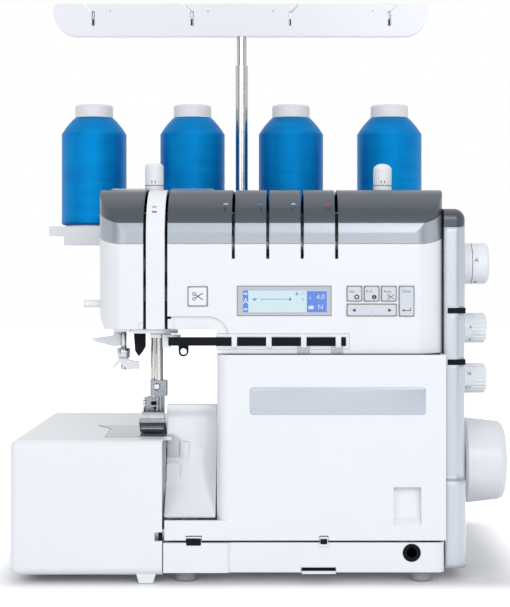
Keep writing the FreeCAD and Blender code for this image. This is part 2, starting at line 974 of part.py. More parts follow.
def side_pieces():
    column = column_shape(0).cut(column_shape(side_wall))
    bulge = column_shape(0)
    bulge.translate(V(0, -bulge_proud, 0))
    bulge = bulge.common(box(-far, far, -far, side_front + side_corner, 0, bulge_top))
    bulge = bulge.cut(column_shape(side_wall))
    dial_band = above(cap_low + seam / 2, cap_rise, side_front)
    cap = column.common(dial_band)
    cover = fuse(column.cut(above(cap_low - seam / 2, cap_rise, side_front)), bulge)
    groove = column_shape(-seam).cut(column_shape(groove_depth))
    for low in groove_lows:
        cover = cover.cut(groove.common(box(side_left + groove_start, far, -far, side_front + groove_run,
                                            low, low + groove_height)))
    for z in (stitch_z, differential_z, length_z):
        cover = cover.cut(rod_x(side_left, far, dial_y, z, dial_stem + run_fit))
    cover = cover.cut(rod_x(side_left - seam, far, shaft_y, shaft_z, shaft_hole))
    cover = cover.cut(inlet_block(key_gap / 2, side_left, far))
    cover = cover.cut(switch_block(switch_gap, side_left, far))
    # Ears inside the column that carry the axle of the power switch
    ears = []
    for sign in (-1, 1):
        middle = inlet_y + sign * (switch_width / 2 + switch_frame)
        ear = box(side_face - switch_depth, side_face - side_wall / 2, middle - switch_frame / 2,
                  middle + switch_frame / 2, switch_z - switch_frame * 2, switch_z + switch_frame * 2)
        ears.append(ear)
    cover = fuse(cover, *ears)
    axle_x = side_face - switch_depth / 2
    cover = cover.cut(rod_y(inlet_y - switch_width, inlet_y + switch_width, axle_x, switch_z,
                            switch_axle + run_fit))
    return {"side_cover": cover, "side_cap": cap}


def inlet_block(grow, x0, x1):
    return box(x0, x1, inlet_y - inlet_width / 2 - grow, inlet_y + inlet_width / 2 + grow,
               inlet_z - inlet_height / 2 - grow, inlet_z + inlet_height / 2 + grow)


def switch_block(grow, x0, x1):
    return box(x0, x1, inlet_y - switch_width / 2 - grow, inlet_y + switch_width / 2 + grow,
               switch_z - switch_height / 2 - grow, switch_z + switch_height / 2 + grow)


def power_pieces():
    # Mains inlet: a socket with three pins; switch: a rocker on a cross axle
    inlet = inlet_block(0, side_face - inlet_depth, side_face + seam)
    inlet = inlet.cut(inlet_block(-inlet_wall, side_face - inlet_depth + inlet_wall, far))
    floor = side_face - inlet_depth + inlet_wall / 2
    for i in (-1, 0, 1):
        rise = inlet_pin * 2 if i == 0 else -inlet_pin
        pin = rod_x(floor, floor + inlet_pin_length, inlet_y + i * inlet_pin_pitch, inlet_z + rise, inlet_pin)
        inlet = fuse(inlet, pin)
    axle_x = side_face - switch_depth / 2
    half = switch_height / 2
    rocker = [(axle_x - switch_axle * 2, switch_z - switch_axle * 2),
              (side_face + switch_proud / 3, switch_z - half),
              (side_face + switch_proud / 3, switch_z),
              (side_face + switch_proud, switch_z + half),
              (axle_x - switch_axle * 2, switch_z + switch_axle * 2)]
    switch = prism_y(rocker, inlet_y - switch_width / 2, inlet_y + switch_width / 2)
    reach = switch_width / 2 + switch_frame
    axle = rod_y(inlet_y - reach, inlet_y + reach, axle_x, switch_z, switch_axle)
    return {"power_inlet": inlet, "power_switch": fuse(switch, axle)}


def dial_piece(z, radius, width, ribbed):
    foot = -dial_gap - dial_reach
    outline = [(0, foot), (dial_stem, foot), (dial_stem, 0), (radius, 0), (radius, width - dial_edge),
               (radius - dial_edge, width), (0, width)]
    dial = lathe(outline, V(side_face + dial_gap, dial_y, z), V(1, 0, 0))
    if ribbed:
        grooves = []
        for i in range(rib_count):
            turn = 2 * math.pi * i / rib_count
            grooves.append(rod_x(side_face + rib_start, far, dial_y + radius * math.cos(turn),
                                 z + radius * math.sin(turn), rib_radius))
        dial = dial.cut(Part.makeCompound(grooves))
    return dial


def dial_pieces():
    return {"stitch_dial": dial_piece(stitch_z, stitch_radius, stitch_width, False),
            "differential_dial": dial_piece(differential_z, small_dial_radius, small_dial_width, True),
            "length_dial": dial_piece(length_z, small_dial_radius, small_dial_width, True)}


def cover_wall(low, high):
    # Front door in plan: flat front, rounded left flank that runs back
    t = cover_thick
    edges = [
        line(V(head_right, 0, low), V(cover_left, 0, low)),
        corner_arc(cover_left, 0, pillar_left, cover_flank, True, low),
        line(V(pillar_left, cover_flank, low), V(pillar_left, cover_return, low)),
        line(V(pillar_left, cover_return, low), V(pillar_left + t, cover_return, low)),
        line(V(pillar_left + t, cover_return, low), V(pillar_left + t, cover_flank, low)),
        corner_arc(pillar_left + t, cover_flank, cover_left, t, False, low),
        line(V(cover_left, t, low), V(head_right, t, low)),
        line(V(head_right, t, low), V(head_right, 0, low)),
    ]
    return solid_from(edges, V(0, 0, high - low))


def looper_cover_piece():
    t = cover_thick
    door = cover_wall(cover_low, cover_high)
    end = box(head_right - t, head_right, 0, cover_end_depth, cover_low, cover_high)
    toe = box(toe_left, cover_left, 0, t, cover_low, toe_top)
    cup = box(finger_left - finger_wall, finger_right + finger_wall, t / 2, finger_depth + finger_wall,
              finger_low - finger_wall, finger_high + finger_wall)
    door = fuse(door, end, toe, cup)
    grip = [(-t, finger_low), (finger_depth * 2 / 3, finger_low + finger_depth), (finger_depth, finger_high),
            (-t, finger_high)]
    door = door.cut(prism_x(grip, finger_left, finger_right))
    for middle, width in ((hinge_left_x, hinge_left_width), (hinge_right_x, hinge_right_width)):
        half = width / 2
        door = door.cut(box(middle - half - hinge_play, middle + half + hinge_play, -t, 2 * t,
                            0, hinge_z + hinge_nose + hinge_head))
        reach = half + hinge_reach + hinge_play
        door = door.cut(rod_x(middle - reach, middle + reach, hinge_y, hinge_z, hinge_stub + run_fit))
    return door


def chute_piece():
    # Curved sheet that leads trimmings forward, with a window for the knife at its left
    middle = V(chute_left, chute_front + (chute_back - chute_front) * chute_hollow,
               chute_low + (chute_high - chute_low) * chute_turn)
    back = V(0, chute_thick, 0)
    start = V(chute_left, chute_front, chute_low)
    end = V(chute_left, chute_back, chute_high)
    edges = [arc(start, middle, end), line(end, end + back), arc(end + back, middle + back, start + back),
             line(start + back, start)]
    sheet = solid_from(edges, V(chute_right - chute_left, 0, 0))
    window = box(chute_left - seam, knife_right + knife_guide + chute_thick, 0, far, knife_low - chute_thick,
                 knife_high + 2 * chute_thick)
    tab = box(chute_right - chute_tab, chute_right, chute_back - chute_thick, bed_lip,
              bed_top - bed_thick, bed_top)
    return fuse(sheet.cut(window), tab)


def plate_outline(grow):
    return [(plate_right + grow, plate_y0 - grow), (plate_corner_x - grow, plate_y0 - grow),
            (plate_knee_x - grow, plate_knee_y), (plate_tip_x - grow * 2, plate_y1 + grow),
            (plate_right + grow, plate_y1 + grow)]


def table_shape(inset, low, high, radius):
    block = box(table_left + inset, table_right + inset, inset, table_depth - inset, low, high)
    right = table_right + inset - seam
    rim = edges_along(block, V(0, 0, 1), lambda p: p.x < right)
    rim += edges_along(block, V(1, 0, 0), lambda p: p.z > low + seam or inset == 0)
    rim += edges_along(block, V(0, 1, 0), lambda p: p.x < right and (p.z > low + seam or inset == 0))
    return block.makeFillet(radius, rim)


def table_piece():
    table = table_shape(0, table_low, table_high, table_edge)
    hollow = table_shape(table_wall, table_low + table_wall, table_high - table_skin, table_edge - table_wall)
    mouth = box(table_left + table_corner, far, table_corner, table_depth - table_corner, 0, table_high / 2)
    table = table.cut(hollow).cut(mouth)
    table = table.cut(prism_z(plate_outline(plate_gap), table_high / 2, far).common(
        box(-far, far, 0, far, table_high - 2 * table_skin, far)))
    floor = table_low + table_wall
    foot = prism_y([(table_foot_left, floor), (table_foot_left + table_wall, table_foot_low),
                    (table_foot_right - table_wall, table_foot_low), (table_foot_right, floor)],
                   table_wall, table_foot_depth)
    table = fuse(table, foot.common(box(-far, far, 0, table_corner, 0, far)))
    return table.cut(box(table_right - table_notch, far, -far, 2 * table_wall,
                         table_notch_low, table_notch_high))


def frame_piece():
    # Casting: floor plate, three bearing walls, bed with free arm, looper plate, arm with two bar lugs
    low = base_low + base_wall
    right_end = wall_right + wall_thick
    bed_low = bed_top - bed_thick
    parts = [
        box(wall_left, right_end, plate_front, plate_back, low, low + frame_floor),
        box(wall_mid, wall_mid + wall_thick, wall_front, wall_back, low, arm_high),
        box(wall_right, right_end, wall_front, wall_back, low, arm_high),
        box(arm_left, right_end, arm_front, arm_back, arm_low, arm_high),
        box(free_arm_left, base_left, free_arm_front, free_arm_back, bed_low, bed_top),
        box(base_left, bed_right, bed_lip, free_arm_back, bed_low, bed_top),
        box(bed_right, wall_mid, bed_step, free_arm_back, bed_low, bed_top),
        box(free_arm_left, base_left, free_arm_front, free_arm_front + free_wall, free_arm_low, bed_top),
        box(free_arm_left, base_left, free_arm_back - free_wall, free_arm_back, free_arm_low, bed_top),
        box(free_arm_left, free_arm_left + free_wall, free_arm_front, free_arm_back, free_arm_low, bed_top),
        box(wall_left, looper_plate_right, looper_plate_y, looper_plate_y + looper_plate_thick, low, bed_top),
        box(bearing_left, bearing_left + wall_thick, shaft_y - bearing_half, looper_plate_y,
            shaft_z - bearing_half, bed_low),
        box(knife_right + soft_fit, knife_right + knife_guide, knife_y0 + knife_guide_step, bed_lip,
            knife_guide_low, bed_top),
        rod_y(lower_looper_y - looper_end, looper_plate_y, lower_looper_x, lower_looper_z, looper_pin),
        rod_y(upper_looper_y - looper_end, looper_plate_y, upper_looper_x, upper_looper_z, looper_pin),
    ]
    for z in (arm_low, arm_high - lug_thick):
        parts.append(box(lug_left, lug_left + lug_width, lug_front, arm_front, z, z + lug_thick))
    # Channel under the bed in which the feed carrier slides
    half = feed_span() / 2
    middle = feed_x + feed_pitch / 2
    channel = box(middle - half - feed_guide / 2, middle + half + feed_guide / 2, feed_channel_front,
                  feed_channel_back, feed_low - feed_guide, bed_low)
    parts.append(channel.cut(box(middle - half - seat_gap, middle + half + seat_gap, 0, far,
                                 feed_low - seat_gap, far)))
    casting = fuse(*parts)
    casting = casting.cut(box(bed_window_left, bed_window_right, bed_window_front, bed_window_back,
                              bed_low - seam, far).common(box(-far, far, 0, far, 0, bed_top + seam)))
    for x in (bearing_left, wall_mid, wall_right):
        casting = casting.cut(rod_x(x - seam, x + wall_thick + seam, shaft_y, shaft_z,
                                    shaft_radius + bush_wall + run_fit))
    casting = casting.cut(rod_x(wall_right - seam, far, motor_y, motor_z, motor_shaft_hole))
    for x, y in ((needle_x, needle_y), (presser_x, presser_y)):
        casting = casting.cut(rod_z(arm_low - seam, arm_high + seam, x, y, bar_radius + run_fit))
    return casting


def feed_span():
    return feed_pitch + feed_width


def belt_loop(first, second):
    # Closed belt outline round two circles, with straight runs on their outer tangents
    lean = math.atan2(motor_z - shaft_z, motor_y - shaft_y)
    spread = math.hypot(motor_z - shaft_z, motor_y - shaft_y)
    open_angle = math.acos((first - second) / spread)

    def on_shaft(turn):
        return V(pulley_x, shaft_y + first * math.cos(lean + turn), shaft_z + first * math.sin(lean + turn))

    def on_motor(turn):
        return V(pulley_x, motor_y + second * math.cos(lean + turn), motor_z + second * math.sin(lean + turn))

    edges = [
        arc(on_shaft(open_angle), on_shaft(math.pi), on_shaft(-open_angle)),
        line(on_shaft(-open_angle), on_motor(-open_angle)),
        arc(on_motor(-open_angle), on_motor(0), on_motor(open_angle)),
        line(on_motor(open_angle), on_shaft(open_angle)),
    ]
    return solid_from(edges, V(pulley_width, 0, 0))


def drive_pieces():
    shaft_end = wheel_left + wheel_bore
    shaft = rod_x(shaft_left, shaft_end - seam, shaft_y, shaft_z, shaft_radius)
    for i in range(cam_count):
        x = cam_x + cam_pitch * i
        throw = cam_offset if i % 2 else -cam_offset
        shaft = fuse(shaft, rod_x(x, x + cam_width, shaft_y + throw, shaft_z, cam_radius))
    shaft = fuse(shaft, rod_x(pulley_x, pulley_x + pulley_width, shaft_y, shaft_z, pulley_radius))
    bushes = []
    for x in (bearing_left, wall_mid, wall_right):
        ring = rod_x(x, x + wall_thick, shaft_y, shaft_z, shaft_radius + bush_wall)
        bushes.append(ring.cut(rod_x(-far, far, shaft_y, shaft_z, shaft_radius + run_fit)))
    bore = shaft_radius + run_fit
    outline = [(bore, 0), (wheel_radius - wheel_edge / 2, 0), (wheel_radius, wheel_edge / 2),
               (wheel_small, wheel_width - wheel_edge),
               (wheel_small - wheel_edge / 3, wheel_width - wheel_edge / 3),
               (wheel_small - wheel_edge, wheel_width), (wheel_dish, wheel_width),
               (wheel_dish - wheel_dish_depth, wheel_width - wheel_dish_depth),
               (0, wheel_width - wheel_dish_depth), (0, wheel_bore), (bore, wheel_bore)]
    wheel = lathe(outline, V(wheel_left, shaft_y, shaft_z), V(1, 0, 0))
    motor = rod_x(motor_left, wall_right, motor_y, motor_z, motor_radius)
    rims = [edge for edge in motor.Edges if edge.Curve.TypeId == "Part::GeomCircle"]
    motor = motor.makeChamfer(motor_edge, rims)
    motor_bore = rod_x(wall_right - motor_depth, far, motor_y, motor_z, motor_shaft_radius + run_fit)
    motor = motor.cut(motor_bore)
    pulley = fuse(rod_x(wall_right - motor_depth + seam, pulley_x + pulley_width, motor_y, motor_z,
                        motor_shaft_radius),
                  rod_x(pulley_x, pulley_x + pulley_width, motor_y, motor_z, motor_pulley_radius))
    belt = belt_loop(pulley_radius + belt_lift + belt_thick, motor_pulley_radius + belt_lift + belt_thick)
    belt = belt.cut(belt_loop(pulley_radius + belt_lift, motor_pulley_radius + belt_lift))
    return {"main_shaft": shaft, "shaft_bushes": Part.makeCompound(bushes), "handwheel": wheel,
            "motor": motor, "motor_pulley": pulley, "drive_belt": belt}


def tension_pieces():
    units = []
    for x in slots_x:
        side = x + disc_gap + disc_thick + bracket_thick
        post = rod_x(x - disc_gap - 2 * disc_thick, side, disc_y, disc_z, post_radius)
        discs = [rod_x(x - disc_gap - disc_thick, x - disc_gap, disc_y, disc_z, disc_radius),
                 rod_x(x + disc_gap, x + disc_gap + disc_thick, disc_y, disc_z, disc_radius)]
        bracket = prism_x([(disc_y - post_radius * 2, disc_z + post_radius * 2),
                           (disc_y - post_radius * 2, arm_high - bracket_foot),
                           (arm_front, arm_high - bracket_foot), (arm_front, arm_high),
                           (disc_y + post_radius * 2, disc_z + post_radius * 2)],
                          side - bracket_thick / 2, side + bracket_thick / 2)
        units.append(fuse(post, bracket, *discs))
    return {"tension_units": Part.makeCompound(units)}


def guide_piece():
    # Black front thread guide: a bar with a round tab at its left, on posts in the pocket
    bar = box(guide_left, guide_right, guide_y, guide_y + guide_thick, guide_low, guide_low + guide_height)
    bar = bar.makeFillet(guide_height / 4, edges_along(bar, V(0, 1, 0), lambda p: True))
    tab_z = guide_low - guide_tab_drop
    tab = rod_y(guide_y, guide_y + guide_thick, guide_tab_x, tab_z, guide_tab_radius)
    neck = box(guide_tab_x - guide_tab_radius, guide_tab_x + guide_tab_radius, guide_y, guide_y + guide_thick,
               tab_z, guide_low + guide_height / 2)
    bar = fuse(bar, tab, neck).cut(rod_y(0, far, guide_tab_x, tab_z, guide_tab_hole))
    posts = []
    for left, right in zip(slots_x[:-1], slots_x[1:]):
        middle = (left + right) / 2
        posts.append(box(middle - guide_post / 2, middle + guide_post / 2,
                         guide_y + guide_thick / 2, guide_pocket,
                         guide_low + guide_height / 4, guide_low + guide_height * 3 / 4))
    return {"front_thread_guide": fuse(bar, *posts)}


def feed_bars():
    return [feed_x + feed_pitch * i for i in (0, 1)]


def plate_piece():
    plate = prism_z(plate_outline(0), bed_top, plate_high)
    for x in feed_bars():
        plate = plate.cut(box(x - feed_width / 2 - feed_side, x + feed_width / 2 + feed_side,
                              feed_front - feed_play, feed_back + feed_play, bed_top - seam, far))
    return plate.cut(box(needle_x - sole_slot_half, needle_x + sole_slot_half,
                         sole_slot_front, sole_slot_back, bed_top - seam, far))


def feed_piece():
    # Two toothed bars on a carrier that runs back into its channel
    top = plate_high + seat_gap
    bars = []
    for x in feed_bars():
        outline = [(feed_front, feed_low), (feed_front, top - feed_tooth)]
        count = int((feed_back - feed_front) / feed_tooth_pitch)
        for i in range(count):
            start = feed_front + feed_tooth_pitch * i
            outline += [(start + feed_tooth_pitch / 2, top), (start + feed_tooth_pitch, top - feed_tooth)]
        outline.append((feed_front + feed_tooth_pitch * count, feed_low))
        bars.append(prism_x(outline, x - feed_width / 2, x + feed_width / 2))
    middle = feed_x + feed_pitch / 2
    carrier = box(middle - feed_span() / 2, middle + feed_span() / 2, feed_front, feed_carrier_back,
                  feed_low, feed_low + feed_carrier)
    return fuse(carrier, *bars)


def needle_pieces():
    bar = rod_z(needle_bar_low, needle_bar_high, needle_x, needle_y, bar_radius)
    clamp = box(clamp_left, clamp_right, needle_y - clamp_depth / 2, needle_y + clamp_depth / 2,
                clamp_low, clamp_high)
    clamp = clamp.makeFillet(needle_radius * 2, edges_along(clamp, V(0, 0, 1), lambda p: True))
    clamp = clamp.cut(rod_z(needle_bar_low - seam, far, needle_x, needle_y, bar_radius + run_fit))
    needles = []
    for sign in (-1, 1):
        x = needle_x + sign * needle_pitch / 2
        clamp = clamp.cut(rod_z(0, needle_seat + seam, x, needle_y, needle_radius + run_fit))
        shank = rod_z(needle_tip + needle_point, needle_seat, x, needle_y, needle_radius)
        point = Part.makeCone(needle_radius / 4, needle_radius, needle_point, V(x, needle_y, needle_tip))
        needles.append(fuse(shank, point))
    # Clamp screws, one for each needle, on the front of the clamp
    for sign in (-1, 1):
        x = needle_x + sign * clamp_depth / 4
        clamp = fuse(clamp, rod_y(needle_y - clamp_depth / 2 - needle_pitch / 2, needle_y - bar_radius - seam,
                                  x, clamp_low + needle_pitch, needle_pitch / 2))
    return {"needle_bar": bar, "needle_clamp": clamp, "needles": Part.makeCompound(needles)}


def presser_pieces():
    bar = rod_z(presser_low, presser_high, presser_x, presser_y, bar_radius)
    sole_top = sole_low + sole_thick
    sole = prism_x([(sole_front, sole_low + sole_toe_rise), (sole_front + sole_toe_run, sole_low),
                    (sole_back, sole_low), (sole_back, sole_top), (sole_front + sole_toe_run, sole_top),
                    (sole_front, sole_top + sole_toe_rise)], sole_left, sole_right)
    sole = sole.cut(box(needle_x - sole_slot_half, needle_x + sole_slot_half,
                        sole_slot_front, sole_slot_back, 0, far))
    shank = box(shank_left, shank_right, shank_front, shank_back, sole_top - seam, shank_high)
    window = box(shank_left + shank_rim, shank_right - shank_rim, shank_front - seam, shank_front + shank_rim,
                 sole_top + shank_rim, presser_low - shank_rim)
    screw_z = shank_high - screw_head - shank_rim / 2
    screw = rod_y(shank_front - foot_screw_proud, shank_front + shank_rim, presser_x, screw_z, screw_head)
    slot = box(presser_x - screw_head, presser_x + screw_head, 0, shank_front - foot_screw_proud / 2,
               screw_z - screw_shank / 4, screw_z + screw_shank / 4)
    foot = fuse(sole, shank.cut(window), screw.cut(slot))
    foot = foot.cut(rod_z(presser_low - seam, far, presser_x, presser_y, bar_radius + run_fit))
    return {"presser_bar": bar, "presser_foot": foot}


def looper_piece(x, y, z, tip_x, tip_z, hook):
    # Hub, leaning arm and a hooked blade at its end
    half = looper_thick / 2
    lean = math.atan2(tip_z - z, tip_x - x)
    across_x = -math.sin(lean) * looper_arm / 2
    across_z = math.cos(lean) * looper_arm / 2
    hub = rod_y(y - half, y + half, x, z, looper_hub)
    outline = [(x + across_x, z + across_z), (tip_x + across_x, tip_z + across_z),
               (tip_x + hook, tip_z + looper_arm), (tip_x - across_x, tip_z - across_z),
               (x - across_x, z - across_z)]
    arm = prism_y(outline, y - half, y + half)
    return fuse(hub, arm).cut(rod_y(0, far, x, z, looper_pin + looper_bore_gap))


def trim_pieces():
    fixed = box(bed_window_right - lower_knife_thick, bed_window_right, lower_knife_y0, lower_knife_y1,
                lower_knife_low, bed_top - seam)
    knife = fuse(box(knife_left, knife_mid, knife_y0, knife_y1, knife_step, knife_high),
                 box(knife_mid, knife_right, knife_y0, knife_y1,
                     knife_step - knife_lap, knife_high - knife_lap),
                 box(knife_left + knife_lap, knife_mid, knife_y0, knife_y1, knife_low, knife_step))
    return {"lower_knife": fixed, "upper_knife": knife,
            "lower_looper": looper_piece(lower_looper_x, lower_looper_y, lower_looper_z,
                                         lower_looper_tip_x, lower_looper_tip_z, -looper_hook),
            "upper_looper": looper_piece(upper_looper_x, upper_looper_y, upper_looper_z,
                                         upper_looper_tip_x, upper_looper_tip_z, -looper_hook)}


def lever_piece():
    # Needle threader lever: a stem in the head's floor, an upper finger lever and a lower hook
    hub = rod_z(lever_hub_low, arm_underside - panel_gap, lever_x, lever_y, lever_hub)
    stem = rod_z(arm_underside - panel_gap, arm_underside + lever_stem * 3, lever_x, lever_y, lever_stem)
    finger = prism_y([(lever_x, lever_low), (lever_tip_x + lever_width, lever_low + lever_width / 3),
                      (lever_tip_x, lever_high - lever_width / 3), (lever_tip_x + lever_width, lever_high),
                      (lever_x, lever_high)], lever_y - lever_width / 2, lever_y + lever_width / 2)
    post = rod_z(lower_lever_low, lever_hub_low, lever_x, lever_y, threader_post)
    hook = prism_y([(lower_lever_tip_x, lower_lever_low), (lower_lever_tip_x, lower_lever_high),
                    (lever_x, lower_lever_high + lever_width / 2), (lower_lever_left_x, lower_lever_low),
                    (lever_x, lower_lever_low)], lever_y - lever_width / 2, lever_y + lever_width / 2)
    return {"threader_lever": fuse(hub, stem, finger, post, hook)}


def knob_pieces():
    start = head_top + knob_gap
    foot = -knob_gap - knob_reach
    base = [(0, foot), (knob_stem, foot), (knob_stem, 0), (knob_radius, 0)]
    flat = base + [(knob_radius, knob_height - knob_edge), (knob_radius - knob_edge, knob_height),
                   (0, knob_height)]
    dome = base + [(knob_radius, knob_height - top_knob_dome)]
    for i in range(1, dome_steps + 1):
        turn = math.pi / 2 * i / dome_steps
        dome.append((knob_radius * math.cos(turn), knob_height - top_knob_dome * (1 - math.sin(turn))))
    return {"pressure_knob": lathe(flat, V(presser_x, knob_y, start), V(0, 0, 1)),
            "top_knob": lathe(dome, V(top_knob_x, knob_y, start), V(0, 0, 1))}


def stand_pieces():
    tray = fuse(rounded_block(tray_left, tray_right, head_back, tray_back, tray_step, tray_top,
                              seam, tray_corner),
                rounded_block(tray_left + tray_inset, tray_right - tray_inset, head_back,
                              tray_back - tray_inset, tray_low, tray_step, seam, tray_corner))
    tray = tray.cut(rod_z(0, far, mast_x, mast_y, mast_tube_radius + run_fit))
    pins = []
    cores = []
    pieces = {}
    inner = core_radius - core_wall
    thread_inner = core_radius + soft_fit
    for i, x in enumerate(cones_x):
        foot = V(x, mast_y, 0)
        up = V(0, 0, 1)
        pad_top = tray_top + pad_thick
        pins.append(lathe([(0, tray_top), (pad_radius, tray_top), (pad_radius, pad_top),
                           (inner - soft_fit, pad_top), (inner - soft_fit, pad_top + holder_height / 2),
                           (pin_radius, pad_top + holder_height), (pin_radius, pin_top), (0, pin_top)],
                          foot, up))
        cores.append(lathe([(inner, cone_low), (core_radius, cone_low), (core_radius, core_cap_low),
                            (core_cap_radius, core_cap_low), (core_cap_radius, core_top - core_wall / 2),
                            (core_cap_radius - core_wall / 2, core_top), (inner - core_wall, core_top),
                            (inner - core_wall, core_top - core_wall), (inner, core_cap_low)], foot, up))
        thread = [(thread_inner, cone_low), (cone_radius - cone_foot_edge, cone_low),
                  (cone_radius, cone_low + cone_foot_edge), (cone_radius, cone_straight)]
        for step in range(1, shoulder_steps + 1):
            turn = math.pi / 2 * step / shoulder_steps
            thread.append((cone_shoulder_radius + (cone_radius - cone_shoulder_radius) * math.cos(turn),
                           cone_straight + (cone_top - cone_straight) * math.sin(turn)))
        thread.append((thread_inner, cone_top))
        pieces["thread_cone_%d" % (i + 1)] = lathe(thread, foot, up)
    pieces.update({"cone_tray": tray, "spool_pins": Part.makeCompound(pins),
                   "cone_cores": Part.makeCompound(cores)})
    pieces.update(mast_pieces())
    return pieces


def mast_pieces():
    up = V(0, 0, 1)
    foot = V(mast_x, mast_y, 0)
    bore = mast_rod_radius + run_fit
    tube = lathe([(0, mast_tube_low), (mast_tube_radius, mast_tube_low), (mast_tube_radius, mast_tube_high),
                  (bore, mast_tube_high), (bore, mast_tube_low + mast_tube_floor),
                  (0, mast_tube_low + mast_tube_floor)], foot, up)
    neck_top = (bar_low + bar_high) / 2
    rod = lathe([(0, mast_rod_low), (mast_rod_radius, mast_rod_low), (mast_rod_radius, mast_rod_high),
                 (mast_neck_radius, mast_rod_high), (mast_neck_radius, neck_top), (0, neck_top)], foot, up)
    y0 = mast_y - bar_thick / 2
    across = math.cos(math.pi / 4)
    low_in = bar_low_corner * (1 - across)
    high_in = bar_high_corner * (1 - across)
    edges = [
        line(V(bar_left + bar_low_corner, y0, bar_low), V(bar_right - bar_low_corner, y0, bar_low)),
        arc(V(bar_right - bar_low_corner, y0, bar_low), V(bar_right - low_in, y0, bar_low + low_in),
            V(bar_right, y0, bar_low + bar_low_corner)),
        line(V(bar_right, y0, bar_low + bar_low_corner), V(bar_right, y0, bar_high - bar_high_corner)),
        arc(V(bar_right, y0, bar_high - bar_high_corner), V(bar_right - high_in, y0, bar_high - high_in),
            V(bar_right - bar_high_corner, y0, bar_high)),
        line(V(bar_right - bar_high_corner, y0, bar_high), V(bar_left + bar_high_corner, y0, bar_high)),
        arc(V(bar_left + bar_high_corner, y0, bar_high), V(bar_left + high_in, y0, bar_high - high_in),
            V(bar_left, y0, bar_high - bar_high_corner)),
        line(V(bar_left, y0, bar_high - bar_high_corner), V(bar_left, y0, bar_low + bar_low_corner)),
        arc(V(bar_left, y0, bar_low + bar_low_corner), V(bar_left + low_in, y0, bar_low + low_in),
            V(bar_left + bar_low_corner, y0, bar_low)),
    ]
    bar = solid_from(edges, V(0, bar_thick, 0))
    # Thread eyes: an upright slot reached from the top edge by a slanted cut
    half = eye_width / 2
    for x in cones_x:
        lean = -eye_run if x < mast_x else eye_run
        bar = bar.cut(box(x - half, x + half, 0, far, eye_low, eye_high))
        bar = bar.cut(prism_y([(x - half, eye_high - eye_width), (x + half, eye_high - eye_width),
                               (x + half + lean, bar_high + seam), (x - half + lean, bar_high + seam)],
                              0, far))
    bar = bar.cut(rod_z(0, neck_top + seam, mast_x, mast_y, mast_neck_radius + run_fit))
    return {"mast_tube": tube, "mast_rod": rod, "thread_guide_bar": bar}


def all_pieces():
    pieces = {"main_frame": frame_piece(), "looper_cover": looper_cover_piece(), "chute_cover": chute_piece(),
              "extension_table": table_piece(), "needle_plate": plate_piece(), "feed_dogs": feed_piece()}
    for group in (base_pieces, head_pieces, screw_pieces, panel_pieces, side_pieces, power_pieces,
                  dial_pieces, drive_pieces, tension_pieces, guide_piece, needle_pieces, presser_pieces,
                  trim_pieces, lever_piece, knob_pieces, stand_pieces):
        pieces.update(group())
    return pieces


def main():
    os.makedirs("parts", exist_ok=True)
    for name, shape in sorted(all_pieces().items()):
        placed = shape.copy()
        placed.translate(V(-x_middle, -y_middle, 0))
        placed.exportStep(os.path.join("parts", name + ".step"))
        print(name, "solids", len(placed.Solids), "valid", placed.isValid(), "mm3", round(placed.Volume))


if __name__ == "__main__":
    main()
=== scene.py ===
import math

import bmesh
import bpy
from mathutils import Matrix, Vector


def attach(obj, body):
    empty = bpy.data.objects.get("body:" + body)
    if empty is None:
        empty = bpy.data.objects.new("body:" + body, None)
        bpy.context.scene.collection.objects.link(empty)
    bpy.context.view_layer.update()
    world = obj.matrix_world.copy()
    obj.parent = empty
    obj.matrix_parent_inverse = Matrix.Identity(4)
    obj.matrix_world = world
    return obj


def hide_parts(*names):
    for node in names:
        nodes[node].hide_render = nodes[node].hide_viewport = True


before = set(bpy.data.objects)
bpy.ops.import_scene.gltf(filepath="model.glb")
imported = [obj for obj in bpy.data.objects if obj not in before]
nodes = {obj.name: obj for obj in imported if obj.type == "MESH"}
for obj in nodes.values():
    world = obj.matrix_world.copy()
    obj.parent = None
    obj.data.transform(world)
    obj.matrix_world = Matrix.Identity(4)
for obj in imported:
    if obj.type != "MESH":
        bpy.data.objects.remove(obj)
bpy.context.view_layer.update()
scene = bpy.context.scene
scene.view_settings.view_transform = "Standard"
print("frame loaded:", len(nodes), "nodes")

# Pieces are written in millimetres from the photo's axis, the looper cover's front and the floor
mm = 0.001
datum = Vector((18.5, -140.0, 0.0))
white = (1.0, 1.0, 1.0, 1.0)


def addObject(name, data):
    obj = bpy.data.objects.new(name, data)
    scene.collection.objects.link(obj)
    return obj


def newMaterial(name):
    material = bpy.data.materials.new(name)
    material.use_nodes = True
    return material, material.node_tree, material.node_tree.nodes["Principled BSDF"]


def fill(node, values):
    for label, value in values.items():
        node.inputs[label].default_value = value


def feed(tree, value, socket):
    # A number or a colour stays on the socket, and anything else is linked to it
    if isinstance(value, (int, float)):
        socket.default_value = value
    elif isinstance(value, tuple):
        socket.default_value = (*value, 1.0)
    else:
        tree.links.new(value, socket)


def mathNode(tree, operation, a, b=None, clamp=False):
    node = tree.nodes.new("ShaderNodeMath")
    node.operation = operation
    node.use_clamp = clamp
    for socket, value in zip(node.inputs, (a, b)):
        if value is not None:
            feed(tree, value, socket)
    return node.outputs[0]


def scaled(tree, value, factor, base, clamp=False):
    return mathNode(tree, "ADD", mathNode(tree, "MULTIPLY", value, factor), base, clamp)


def vectorNode(tree, operation, a, b=None, output="Vector"):
    node = tree.nodes.new("ShaderNodeVectorMath")
    node.operation = operation
    tree.links.new(a, node.inputs[0])
    if isinstance(b, tuple):
        node.inputs[1].default_value = b
    elif b is not None:
        tree.links.new(b, node.inputs[1])
    return node.outputs[output]


# Camera and studio

photoView = {"eye": (0.0, -1200.0, 260.0), "lens": 88.96, "sensor": 36.0, "shift": (-0.0494, -0.0717),
             "clip": (0.05, 50.0)}


